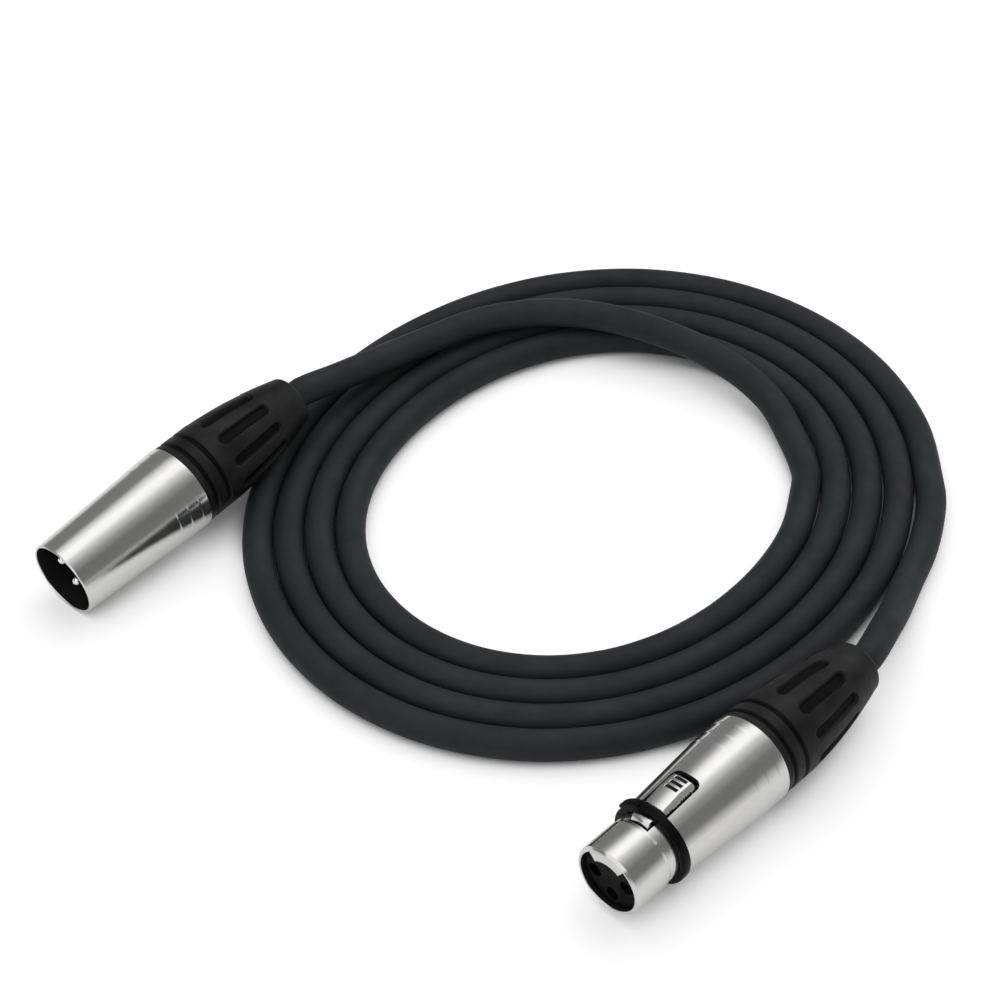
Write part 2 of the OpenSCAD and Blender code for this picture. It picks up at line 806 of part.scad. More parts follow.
module female_socket(k) {
    mouth = face_s + socket_setback + seat_gap;
    color("goldenrod")
        place_female()
            at_phi(latch_phi + k * CONTACT_STEP)
                translate([contact_r, 0, 0]) {
                    difference() {
                        drill(socket_d / 2, mouth, female_insert_end);
                        drill(socket_bore / 2, mouth - EPS, mouth + socket_depth);
                    }
                    solder_cup(female_insert_end);
                }
}
module female_socket_1() { female_socket(1); }
module female_socket_2() { female_socket(2); }
module female_socket_3() { female_socket(3); }

module female_ground_clip() {
    place_female()
        at_phi(latch_phi + TWO * CONTACT_STEP + CONTACT_STEP / 2)
            ground_clip(female_shoulder, female_insert_end);
}

module female_ring() {
    bore_r = ring_seat_r + seat_gap;
    front = ring_front + seat_gap;
    pad_r = ring_r + ring_pad_height;
    color([0.07, 0.07, 0.07])
        place_female()
            difference() {
                turned([
                    [bore_r, front],
                    [pad_r, front],
                    [pad_r, front + ring_len],
                    [bore_r, front + ring_len]
                ]);
                sector(ring_pad_from + ring_pad_span, 360 - ring_pad_span, [
                    [ring_r, front - EPS],
                    [pad_r + EPS, front - EPS],
                    [pad_r + EPS, front + ring_len + EPS],
                    [ring_r, front + ring_len + EPS]
                ]);
            }
}

// The top of the latch follows the shell's round, and stands proud of it
function shell_radius(s) = female_front_r + (shell_rear_r - 3 * step_height
    - female_front_r) * (s - shell_front) / (step_s(female_shell_len, 0) - shell_front);
module female_latch() {
    front_top = shell_radius(latch_front) + latch_proud / 2;
    rear_top = shell_radius(latch_rear) + latch_proud;
    color([0.8, 0.8, 0.78])
        place_female()
            at_phi(latch_phi)
                difference() {
                    union() {
                        intersection() {
                            plate(latch_w, [
                                [lever_base_r, latch_front],
                                [TWO * shell_rear_r, latch_front],
                                [TWO * shell_rear_r, latch_rear],
                                [lever_base_r, latch_rear]
                            ]);
                            turned([
                                [0, latch_front],
                                [front_top, latch_front],
                                [rear_top, (latch_front + latch_rear) / 2],
                                [rear_top, latch_rear],
                                [0, latch_rear]
                            ]);
                        }
                        plate(hook_w, [
                            [lever_base_r, hook_front],
                            [bar_top_r, hook_front],
                            [hook_top_r, hook_front + hook_len / 2],
                            [hook_top_r, hook_front + hook_len],
                            [bar_top_r, hook_front + hook_len],
                            [bar_top_r, latch_front + EPS],
                            [lever_base_r, latch_front + EPS]
                        ]);
                        plate(latch_w, [
                            [lever_base_r, latch_rear - EPS],
                            [arm_top_r, latch_rear - EPS],
                            [arm_top_r, pivot_s],
                            [pivot_r, lever_rear],
                            [pivot_r - pivot_d / 2, lever_rear - pivot_d / 2]
                        ]);
                    }
                    translate([pivot_r, 0, pivot_s])
                        rotate([QUARTER, 0, 0])
                            cylinder(r = pivot_d / 2 + pivot_gap, h = TWO * shell_bore_r, center = true);
                    for (k = [-1, 0, 1])
                        translate([rear_top - grip_depth, -grip_len / 2,
                            grip_mid + k * grip_pitch - grip_w / 2])
                            cube([shell_rear_r, grip_len, grip_w]);
                }
}
module female_latch_pin() {
    color("silver")
        place_female()
            at_phi(latch_phi)
                translate([pivot_r, 0, pivot_s])
                    rotate([QUARTER, 0, 0])
                        cylinder(d = pivot_d, h = pivot_chord - TWO * pivot_end_gap, center = true);
}
// A leaf spring: its foot lies in the channel and its end lifts the latch
module female_latch_spring() {
    foot = channel_r + seat_gap;
    top = lever_base_r - seat_gap;
    s0 = latch_front;
    s1 = s0 + latch_len / 3;
    s2 = latch_rear - 1;
    color("silver")
        place_female()
            at_phi(latch_phi)
                plate(leaf_w, [
                    [foot, s0],
                    [foot + leaf_t, s0],
                    [foot + leaf_t, s1],
                    [top, s2],
                    [top, s2 + 1],
                    [top - leaf_t, s2 + 1],
                    [top - leaf_t, s2],
                    [foot, s1]
                ]);
}

module cable_coil() {
    color([0.16, 0.18, 0.18])
        tube(coil_route, coil_tangent(0), coil_tangent(coil_turns), cable_r, COIL_SIDES, [0, 0, 1]);
}
module male_lead() {
    color([0.16, 0.18, 0.18])
        tube(male_lead_route, male_dir, coil_tangent(0), cable_r, LEAD_SIDES, [0, 0, 1]);
}
module female_lead() {
    color([0.16, 0.18, 0.18])
        tube(female_lead_route, coil_tangent(coil_turns), -female_dir, cable_r, LEAD_SIDES,
            [0, 0, 1]);
}

male_shell();
male_insert();
male_pin_1();
male_pin_2();
male_pin_3();
male_ground_clip();
male_chuck();
male_gland_nut();
male_boot();
male_core_hot();
male_core_cold();
male_shield_tail();
male_cable_end();
female_shell();
female_insert();
female_socket_1();
female_socket_2();
female_socket_3();
female_ground_clip();
female_ring();
female_latch();
female_latch_pin();
female_latch_spring();
female_chuck();
female_gland_nut();
female_boot();
female_core_hot();
female_core_cold();
female_shield_tail();
female_cable_end();
male_lead();
cable_coil();
female_lead();
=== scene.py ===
# %% [markdown]
# # A coiled microphone cable
# The object is one cable with a round connector on each end. The solids come
# ready made from the frame, in metres, with z = 0 on the table. This lesson
# dresses them: some solids keep their shape and get a finish, and the ones
# that are soft or need finer edges are replaced by a better mesh in the same
# place.

# %% Load the frame
import math

import bmesh
import bpy
from mathutils import Matrix, Vector


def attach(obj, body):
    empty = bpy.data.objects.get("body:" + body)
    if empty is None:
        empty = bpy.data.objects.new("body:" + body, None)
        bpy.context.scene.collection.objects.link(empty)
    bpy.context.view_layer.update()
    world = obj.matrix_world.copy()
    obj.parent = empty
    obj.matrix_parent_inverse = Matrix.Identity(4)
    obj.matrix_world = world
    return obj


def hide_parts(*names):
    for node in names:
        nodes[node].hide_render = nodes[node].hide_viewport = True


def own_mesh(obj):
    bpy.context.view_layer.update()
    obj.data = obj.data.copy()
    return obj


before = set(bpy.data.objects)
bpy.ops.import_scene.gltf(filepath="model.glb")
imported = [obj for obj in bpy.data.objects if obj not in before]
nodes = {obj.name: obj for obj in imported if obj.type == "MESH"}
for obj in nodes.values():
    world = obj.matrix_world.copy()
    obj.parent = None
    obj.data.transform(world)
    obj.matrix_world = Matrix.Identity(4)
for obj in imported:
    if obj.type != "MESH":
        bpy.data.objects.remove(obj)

MM = 0.001
scene = bpy.context.scene
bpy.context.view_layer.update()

# %% [markdown]
# ## The camera
# It looks down at a bit under 45 degrees from just over half a metre away. A
# long lens keeps the two connectors nearly the same size, though one is nearer.

# %% Camera
SENSOR_WIDTH = 36
FOCAL_LENGTH = 94.2
CAMERA_PLACE = (258.5, -268.0, 401.2)
CAMERA_TARGET = (-23.6, 41.0, 0)
camera_data = bpy.data.cameras.new("studio_camera")
camera_data.sensor_width = SENSOR_WIDTH
camera_data.lens = FOCAL_LENGTH
camera_data.clip_start = 0.01
camera = bpy.data.objects.new("studio_camera", camera_data)
scene.collection.objects.link(camera)
camera.location = Vector(CAMERA_PLACE) * MM
camera_target = Vector(CAMERA_TARGET) * MM
aim = camera_target - camera.location
camera.rotation_euler = aim.to_track_quat("-Z", "Y").to_euler()
scene.camera = camera
print("camera distance (mm):", round(aim.length / MM, 1))

# %% [markdown]
# ## Where the connectors lie
# Both connectors are turned parts, so they are easiest to draw along their own
# axis: s is the distance behind the front face and phi the angle round it, 0
# to the side and 90 up. A matrix then lays each one down on the table.

# %% Places of the connectors
MALE_TILT = math.radians(5.2)
FEMALE_YAW = math.radians(-1.2)
MALE_X, MALE_Y = -69.2, -45.5
FEMALE_X, FEMALE_Y = 68.0, -29.6
MALE_FRONT_R = 8.6
REAR_R = 9.95
MALE_LEN = 34.0
FEMALE_LEN = 42.0
BOOT_LEN = 34.0
flat = Matrix.Rotation(math.radians(-90), 4, "X")
male_place = (
    Matrix.Translation((MALE_X * MM, MALE_Y * MM, MALE_FRONT_R * math.cos(MALE_TILT) * MM))
    @ Matrix.Rotation(MALE_TILT, 4, "X")
    @ flat
)
female_place = (
    Matrix.Translation((FEMALE_X * MM, FEMALE_Y * MM, REAR_R * MM))
    @ Matrix.Rotation(FEMALE_YAW, 4, "Z")
    @ flat
)


def on_axis(place, s):
    """A point on a connector's axis, s millimetres behind its front face."""
    return place @ Vector((0, 0, s * MM))


male_boot_end = on_axis(male_place, MALE_LEN + BOOT_LEN)
female_boot_end = on_axis(female_place, FEMALE_LEN + BOOT_LEN)
male_dir = (male_boot_end - on_axis(male_place, 0)).normalized()
female_dir = (female_boot_end - on_axis(female_place, 0)).normalized()
print("boot ends (mm):", [round(v / MM, 2) for p in (male_boot_end, female_boot_end) for v in p])

# %% [markdown]
# ## The cable's route
# A real cable is one piece, so its centreline is one list of points: out of
# the male boot, up over the far strands, down into the inside of the coil,
# four turns that grow outwards, and up into the female boot. The turns follow
# an oval spiral, which could be drawn as a curve by hand, but a formula keeps
# the gaps between the strands even.

# %% Route of the cable
CABLE_R = 3.3
TURNS = 4
STEPS_PER_TURN = 24
COIL_X, COIL_Y = -7.3, 51.6
COIL_R = 48.03
COIL_PITCH = 6.84
COIL_OVAL = 4.65
OVAL_GROWTH = 0.13
COIL_DRIFT = 0.15
COIL_PHASE = 45


def coil_point(t):
    """A point of the coil after t turns, in millimetres."""
    angle = math.radians(COIL_PHASE - 360 * t)
    oval = COIL_OVAL + OVAL_GROWTH * t
    r = COIL_R + COIL_PITCH * t - oval * math.cos(2 * angle)
    middle_y = COIL_Y + COIL_DRIFT * t
    return Vector((COIL_X + r * math.cos(angle), middle_y + r * math.sin(angle), CABLE_R))


def coil_tangent(t):
    return (coil_point(t + 0.001) - coil_point(t - 0.001)).normalized()


MALE_ROUTE = [
    (-68.3, 35.3, 13.2), (-67.1, 48.1, 11.1), (-64.7, 60.8, 10.1), (-60.7, 73.6, 10.1),
    (-53.7, 84.5, 10.1), (-44.1, 92.8, 10.1), (-31.9, 98.3, 10.1), (-19.2, 101.7, 9.4),
    (-7.2, 103.2, 7.9), (4, 101.9, 6), (13.8, 97.2, 4.2),
]
FEMALE_ROUTE = [(56, 89.1, 3.3), (59.8, 78.4, 3.6), (63.7, 68.3, 5.5), (67.1, 58.7, 8.5)]

route = [male_boot_end / MM, male_boot_end / MM + CABLE_R * male_dir]
route += [Vector(p) for p in MALE_ROUTE]
route += [coil_point(0) - 2 * CABLE_R * coil_tangent(0)]
route += [coil_point(i / STEPS_PER_TURN) for i in range(STEPS_PER_TURN * TURNS + 1)]
route += [coil_point(TURNS) + 2 * CABLE_R * coil_tangent(TURNS)]
route += [Vector(p) for p in FEMALE_ROUTE]
route += [female_boot_end / MM + CABLE_R * female_dir, female_boot_end / MM]
print("route points:", len(route))

# %% [markdown]
# ## From points to a round tube
# A curve object with a bevel would also make a tube. Here the rings are placed
# in code, because then each ring carries how far along the cable it is, and a
# material can follow the jacket through every turn. A cubic curve through the
# points gives smooth bends without moving the points themselves.

# %% Smooth line and swept tube
UV_PER_METRE = 10


def smooth_line(points, step):
    """Points every step or so on a smooth curve through points."""
    line = []
    for i in range(len(points) - 1):
        a, b = points[i], points[i + 1]
        before = points[i - 1] if i else a - (b - a)
        after = points[i + 2] if i + 2 < len(points) else b + (b - a)
        span = (b - a).length
        slope_a = (b - before) * (span / ((a - before).length + span))
        slope_b = (after - a) * (span / ((after - b).length + span))
        cuts = max(1, round(span / step))
        for k in range(cuts):
            t = k / cuts
            t2, t3 = t * t, t * t * t
            line.append(
                (2 * t3 - 3 * t2 + 1) * a + (t3 - 2 * t2 + t) * slope_a
                + (3 * t2 - 2 * t3) * b + (t3 - t2) * slope_b
            )
    return line + [points[-1]]


def new_piece(name, verts, faces):
    mesh = bpy.data.meshes.new(name)
    mesh.from_pydata([tuple(v) for v in verts], [], faces)
    piece = bpy.data.objects.new(name, mesh)
    scene.collection.objects.link(piece)
    return piece


def swept_tube(name, line, radius, sides):
    """A closed tube along line, in metres, with u = length along it and v = angle."""
    verts, faces, around = [], [], []
    up = Vector((0, 0, 1))
    for i, p in enumerate(line):
        t = (line[min(i + 1, len(line) - 1)] - line[max(i - 1, 0)]).normalized()
        side = t.cross(up).normalized()
        top = side.cross(t)
        for k in range(sides):
            a = 2 * math.pi * k / sides
            verts.append(p + radius * (math.cos(a) * top + math.sin(a) * side))
    for i in range(len(line) - 1):
        for k in range(sides):
            n = (k + 1) % sides
            faces.append((i * sides + k, i * sides + n, (i + 1) * sides + n, (i + 1) * sides + k))
            around.append((i, k))
    faces.append(tuple(reversed(range(sides))))
    faces.append(tuple(range((len(line) - 1) * sides, len(line) * sides)))
    tube = new_piece(name, verts, faces)
    run = [0.0]
    for a, b in zip(line, line[1:]):
        run.append(run[-1] + (b - a).length)
    uv = tube.data.uv_layers.new(name="along")
    for face, (i, k) in zip(tube.data.polygons, around):
        for loop, (di, dk) in zip(face.loop_indices, ((0, 0), (0, 1), (1, 1), (1, 0))):
            uv.data[loop].uv = (run[i + di] * UV_PER_METRE, (k + dk) / sides)
    tube.data.shade_smooth()
    tube.data.set_sharp_from_angle(angle=math.radians(60))
    return tube, run[-1]


CABLE_SIDES = 28
RING_SPACING = 1.6
cable_line = [p * MM for p in smooth_line(route, RING_SPACING)]
cable, cable_length = swept_tube("cable", cable_line, CABLE_R * MM, CABLE_SIDES)
print("cable rings:", len(cable_line), "length (m):", round(cable_length, 4))

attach(cable, "root")
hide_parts("male_lead", "cable_coil", "female_lead")

# %% [markdown]
# ## Finishes
# Every finish is a small tree of nodes on one Principled shader. Colour,
# roughness and bump come from noise in Object coordinates, which here are
# metres, so a noise scale of 2000 makes grain of half a millimetre. Small
# helpers make the noise, map it to a range and mix two colours by it.

# %% Helpers for finishes
def new_finish(name, **sockets):
    """A material with one Principled shader, and its tree and shader."""
    material = bpy.data.materials.new(name)
    material.use_nodes = True
    tree = material.node_tree
    shader = tree.nodes["Principled BSDF"]
    for key, value in sockets.items():
        shader.inputs[key.replace("_", " ")].default_value = value
    return material, tree, shader


def grain(tree, scale, detail=4, stretch=(1, 1, 1)):
    """Noise in Object coordinates, with a mapping to stretch it."""
    coordinates = tree.nodes.new("ShaderNodeTexCoord")
    mapping = tree.nodes.new("ShaderNodeMapping")
    mapping.inputs["Scale"].default_value = stretch
    tree.links.new(coordinates.outputs["Object"], mapping.inputs["Vector"])
    noise = tree.nodes.new("ShaderNodeTexNoise")
    noise.inputs["Scale"].default_value = scale
    noise.inputs["Detail"].default_value = detail
    tree.links.new(mapping.outputs["Vector"], noise.inputs["Vector"])
    return noise.outputs["Fac"]


def maths(tree, operation, *values):
    """A maths node fed by other nodes' outputs or by plain numbers."""
    node = tree.nodes.new("ShaderNodeMath")
    node.operation = operation
    for socket, value in zip(node.inputs, values):
        if hasattr(value, "is_output"):
            tree.links.new(value, socket)
        else:
            socket.default_value = value
    return node.outputs[0]


def spread(tree, factor, low, high, from_low=0.3, from_high=0.7):
    """Maps a noise to the range low to high."""
    node = tree.nodes.new("ShaderNodeMapRange")
    tree.links.new(factor, node.inputs["Value"])
    node.inputs["From Min"].default_value = from_low
    node.inputs["From Max"].default_value = from_high
    node.inputs["To Min"].default_value = low
    node.inputs["To Max"].default_value = high
    return node.outputs["Result"]


def tint(tree, factor, dark, light):
    """A colour between dark and light by a factor."""
    node = tree.nodes.new("ShaderNodeMix")
    node.data_type = "RGBA"
    tree.links.new(factor, node.inputs["Factor"])
    for socket in node.inputs:
        if socket.type == "RGBA":
            socket.default_value = (*(dark if socket.name == "A" else light), 1)
    return next(s for s in node.outputs if s.type == "RGBA")


def bump(tree, shader, height, strength, distance):
    node = tree.nodes.new("ShaderNodeBump")
    node.inputs["Strength"].default_value = strength
    node.inputs["Distance"].default_value = distance
    tree.links.new(height, node.inputs["Height"])
    tree.links.new(node.outputs["Normal"], shader.inputs["Normal"])


# %% [markdown]
# ## The cable's jacket
# Microphone cable has a matt, slightly soft jacket, near black with a cool
# cast. Its fine grain follows the cable through every turn, because that noise
# reads the tube's own length and angle. The soft clouds read the place instead.

# %% Jacket
jacket, tree, shader = new_finish("cable_jacket", Roughness=0.62)
shader.inputs["Specular IOR Level"].default_value = 0.25
cloudy = grain(tree, 90, 3)
tree.links.new(
    tint(tree, spread(tree, cloudy, 0, 1), (0.0138, 0.0172, 0.0182), (0.0212, 0.0255, 0.0268)),
    shader.inputs["Base Color"],
)
tree.links.new(spread(tree, grain(tree, 260, 2), 0.55, 0.7), shader.inputs["Roughness"])
uv_node = tree.nodes.new("ShaderNodeUVMap")
uv_node.uv_map = "along"
uv_scale = tree.nodes.new("ShaderNodeMapping")
uv_scale.inputs["Scale"].default_value = (60, 9, 1)
tree.links.new(uv_node.outputs["UV"], uv_scale.inputs["Vector"])
fine = tree.nodes.new("ShaderNodeTexNoise")
fine.inputs["Scale"].default_value = 3
fine.inputs["Detail"].default_value = 5
tree.links.new(uv_scale.outputs["Vector"], fine.inputs["Vector"])
bump(tree, shader, fine.outputs["Fac"], 0.25, 0.0002)
cable.data.materials.append(jacket)

# %% [markdown]
# ## Moulded plastics
# The boots are a tough soft plastic with a fine spark-eroded texture, the
# ring and the contact carriers a harder, smoother one.

# %% Moulded plastics
def moulded(name, dark, light, rough, fineness, depth, level=0.3, shade_attribute=None):
    """A plastic between two colours, with a texture of some fineness and depth in metres."""
    material, tree, shader = new_finish(name)
    shader.inputs["Specular IOR Level"].default_value = level
    factor = spread(tree, grain(tree, 150, 3), 0, 1)
    # The named attribute darkens the colour and lowers the specular level in recesses and
    # grooves: painted shade.
    if shade_attribute:
        mark = tree.nodes.new("ShaderNodeAttribute")
        mark.attribute_name = shade_attribute
        factor = maths(tree, "MULTIPLY", factor, spread(tree, mark.outputs["Fac"], 1, 0, 0, 1))
        shine = spread(tree, mark.outputs["Fac"], level, level * 0.4, 0, 1)
        tree.links.new(shine, shader.inputs["Specular IOR Level"])
    tree.links.new(tint(tree, factor, dark, light), shader.inputs["Base Color"])
    tree.links.new(
        spread(tree, grain(tree, 500, 2), rough - 0.05, rough + 0.07), shader.inputs["Roughness"]
    )
    bump(tree, shader, grain(tree, fineness, 3), 0.3, depth)
    return material


# The boot's recesses and grooves are painted darker: painted shade.
boot_plastic = moulded(
    "boot_rubber", (0.003, 0.003, 0.003), (0.016, 0.016, 0.0165),
    rough=0.5, fineness=3500, depth=0.00008, level=0.22, shade_attribute="recess_shade",
)
ring_plastic = moulded(
    "ring_plastic", (0.0015, 0.0015, 0.0015), (0.003, 0.003, 0.003),
    rough=0.4, fineness=1500, depth=0.00003, level=0.09,
)
insert_plastic = moulded(
    "insert_plastic", (0.002, 0.002, 0.002), (0.004, 0.004, 0.004),
    rough=0.5, fineness=1500, depth=0.00003, level=0.06,
)
nut_plastic = moulded(
    "nut_plastic", (0.015, 0.015, 0.015), (0.03, 0.03, 0.03),
    rough=0.45, fineness=2500, depth=0.00005,
)
chuck_plastic = moulded(
    "chuck_plastic", (0.6, 0.58, 0.5), (0.72, 0.7, 0.62),
    rough=0.4, fineness=2500, depth=0.00005,
)
core_red = moulded(
    "core_red", (0.4, 0.02, 0.02), (0.55, 0.04, 0.03),
    rough=0.35, fineness=1500, depth=0.00002,
)
core_blue = moulded(
    "core_blue", (0.03, 0.09, 0.3), (0.05, 0.13, 0.4),
    rough=0.35, fineness=1500, depth=0.00002,
)

# %% [markdown]
# ## Metals
# The shells are die-cast, polished lengthwise and plated with satin nickel,
# which leaves faint streaks along the tube: the noise is stretched along Y,
# the way both connectors lie. The bores, the slot's walls and the grip
# grooves get a near-black dull finish instead, which is painted shade.

# %% Metals
def plated(name, dark, light, low, high, marks=0.25):
    material, tree, shader = new_finish(name, Metallic=1.0)
    streaks = grain(tree, 600, 3, stretch=(1, 0.04, 1))
    tree.links.new(
        tint(tree, spread(tree, streaks, 0, 1), dark, light), shader.inputs["Base Color"]
    )
    tree.links.new(spread(tree, grain(tree, 350, 4), low, high), shader.inputs["Roughness"])
    bump(tree, shader, streaks, marks, 0.00001)
    return material


nickel = plated("shell_nickel", (0.72, 0.715, 0.70), (0.76, 0.755, 0.74), 0.16, 0.2, 0.05)
contact_metal = plated("contact_metal", (0.85, 0.84, 0.8), (0.93, 0.92, 0.9), 0.08, 0.16, 0.05)
spring_steel = plated("spring_steel", (0.5, 0.5, 0.5), (0.62, 0.62, 0.62), 0.25, 0.4)
copper = plated("shield_copper", (0.6, 0.28, 0.15), (0.75, 0.38, 0.22), 0.25, 0.45)
# A near-black dull finish: painted shade for the bores, the slot's walls and the grip grooves.
dull_casting = moulded(
    "dull_casting", (0.006, 0.006, 0.006), (0.014, 0.014, 0.014),
    rough=0.6, fineness=1500, depth=0.00003, level=0.2,
)

# %% [markdown]
# ## Turned pieces
# A shell, a boot or a ring is an outline turned about an axis. The outline is
# a closed loop of radius and s, and its corners are rounded first, because a
# sharp corner never catches the light.

# %% Helpers for turned pieces
def soft_corners(outline, size, steps=3):
    """The same loop with each corner rounded by up to size."""
    out = []
    n = len(outline)
    for i in range(n):
        p = Vector(outline[i])
        a, b = Vector(outline[i - 1]), Vector(outline[(i + 1) % n])
        da, db = a - p, b - p
        bend = math.pi - da.angle(db) if da.length and db.length else 0
        if bend < 0.12:
            out.append(p)
            continue
        cut = min(size, da.length * 0.45, db.length * 0.45)
        start, end = p + da.normalized() * cut, p + db.normalized() * cut
        for k in range(steps + 1):
            t = k / steps
            out.append((1 - t) ** 2 * start + 2 * t * (1 - t) * p + t * t * end)
    return out


def turned_piece(name, outline, segments=160):
    """The loop of (radius, s) in millimetres turned about Z, in metres."""
    n = len(outline)
    verts = [
        (r * math.cos(a) * MM, r * math.sin(a) * MM, s * MM)
        for a in (2 * math.pi * k / segments for k in range(segments))
        for r, s in outline
    ]
    faces = []
    for k in range(segments):
        here, there = k * n, (k + 1) % segments * n
        for i in range(n):
            j = (i + 1) % n
            faces.append((here + i, here + j, there + j, there + i))
    piece = new_piece(name, verts, faces)
    face_outwards(piece)
    return piece


def face_outwards(piece):
    bm = bmesh.new()
    bm.from_mesh(piece.data)
    bmesh.ops.remove_doubles(bm, verts=bm.verts, dist=1e-7)
    bmesh.ops.recalc_face_normals(bm, faces=bm.faces)
    bm.to_mesh(piece.data)
    bm.free()


def apply_modifiers(piece):
    """Turns the piece's modifiers into a plain mesh."""
    graph = bpy.context.evaluated_depsgraph_get()
    graph.update()
    made = bpy.data.meshes.new_from_object(piece.evaluated_get(graph))
    piece.modifiers.clear()
    piece.data = made


def paint(piece, material, inner=None, is_inner=None):
    """One material all over, and a second on the faces whose middle and normal pass a test."""
    piece.data.materials.clear()
    piece.data.materials.append(material)
    for face in piece.data.polygons:
        face.material_index = 0
    if inner:
        piece.data.materials.append(inner)
        for face in piece.data.polygons:
            face.material_index = int(is_inner(face.center / MM, face.normal))


def show_as(piece, place, slot, *stands_for, body="root"):
    """Lays a painted piece in its place and lets it stand for its solids."""
    if place is not None:
        piece.data.transform(place)
    piece.data.shade_smooth()
    piece.data.set_sharp_from_angle(angle=math.radians(38))
    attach(piece, body)
    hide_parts(*stands_for)


# %% [markdown]
# ## The boots
# The boot is a soft sleeve that screws over the shell and tapers to the
# cable. It has two grooves at its mouth and ten long recesses for the
# fingers. The sleeve is turned, and Geometry Nodes then press the recesses
# into it: each point knows its angle and its distance along the boot, so one
# rule serves all ten, and their number and size stay named inputs.

# %% Outline of a boot
SEAT_GAP = 0.05
NUT_R = 8.1
NUT_STRAIGHT = 8.5
NUT_LEN = 18.0
NUT_REAR_R = 6.9
BOOT_R0 = 9.75
BOOT_R1 = 5.7
BOOT_STRAIGHT = 8.5
BOOT_CURVE = 1.7
BOOT_ROUND = 1.1
ROUND_STEPS = 6
BOOT_RIM = 0.25
BOOT_HOLE_R = 3.5
HOLE_CHAMFER = 0.3
FINE_STEP, FINE_UNTIL = 0.12, 7
COARSE_STEP = 0.3
BOOT_SEGMENTS = 320
GROOVES = (2.3, 5.8)
GROOVE_HALF = 0.6
GROOVE_DEPTH = 0.6
RECESS_ZONE = (8.0, BOOT_LEN - 2.0)


def boot_radius(s):
    if s <= BOOT_STRAIGHT:
        return BOOT_R0
    share = (s - BOOT_STRAIGHT) / (BOOT_LEN - BOOT_STRAIGHT)
    return BOOT_R0 - (BOOT_R0 - BOOT_R1) * share ** BOOT_CURVE


def groove(s):
    """How deep in a groove s lies, from 0 outside to 1 on the floor of the trough."""
    x = min(abs(s - middle) for middle in GROOVES) / GROOVE_HALF
    return 1 - x ** 4 if x < 1 else 0.0


def boot_outline():
    loop = [(BOOT_R0 - BOOT_RIM, 0)]
    s = FINE_STEP
    round_s = BOOT_LEN - BOOT_ROUND
    while s < round_s:
        loop.append((boot_radius(s) - GROOVE_DEPTH * groove(s), s))
        s += FINE_STEP if s < FINE_UNTIL else COARSE_STEP
    round_r = boot_radius(round_s) - BOOT_ROUND
    for k in range(ROUND_STEPS + 1):
        a = math.radians(90 / ROUND_STEPS * k)
        loop.append((round_r + BOOT_ROUND * math.cos(a), round_s + BOOT_ROUND * math.sin(a)))
    nut_end = NUT_LEN + SEAT_GAP
    loop += [(BOOT_HOLE_R + HOLE_CHAMFER, BOOT_LEN), (BOOT_HOLE_R, BOOT_LEN - HOLE_CHAMFER)]
    loop += [(BOOT_HOLE_R, nut_end), (NUT_REAR_R + SEAT_GAP, nut_end)]
    return loop + [(NUT_R + SEAT_GAP, NUT_STRAIGHT), (NUT_R + SEAT_GAP, 0)]


print("boot outline points:", len(boot_outline()))

# %% Geometry Nodes that press the recesses
def hypotenuse(tree, a, b):
    squares = maths(tree, "ADD", maths(tree, "MULTIPLY", a, a), maths(tree, "MULTIPLY", b, b))
    return maths(tree, "SQRT", squares)


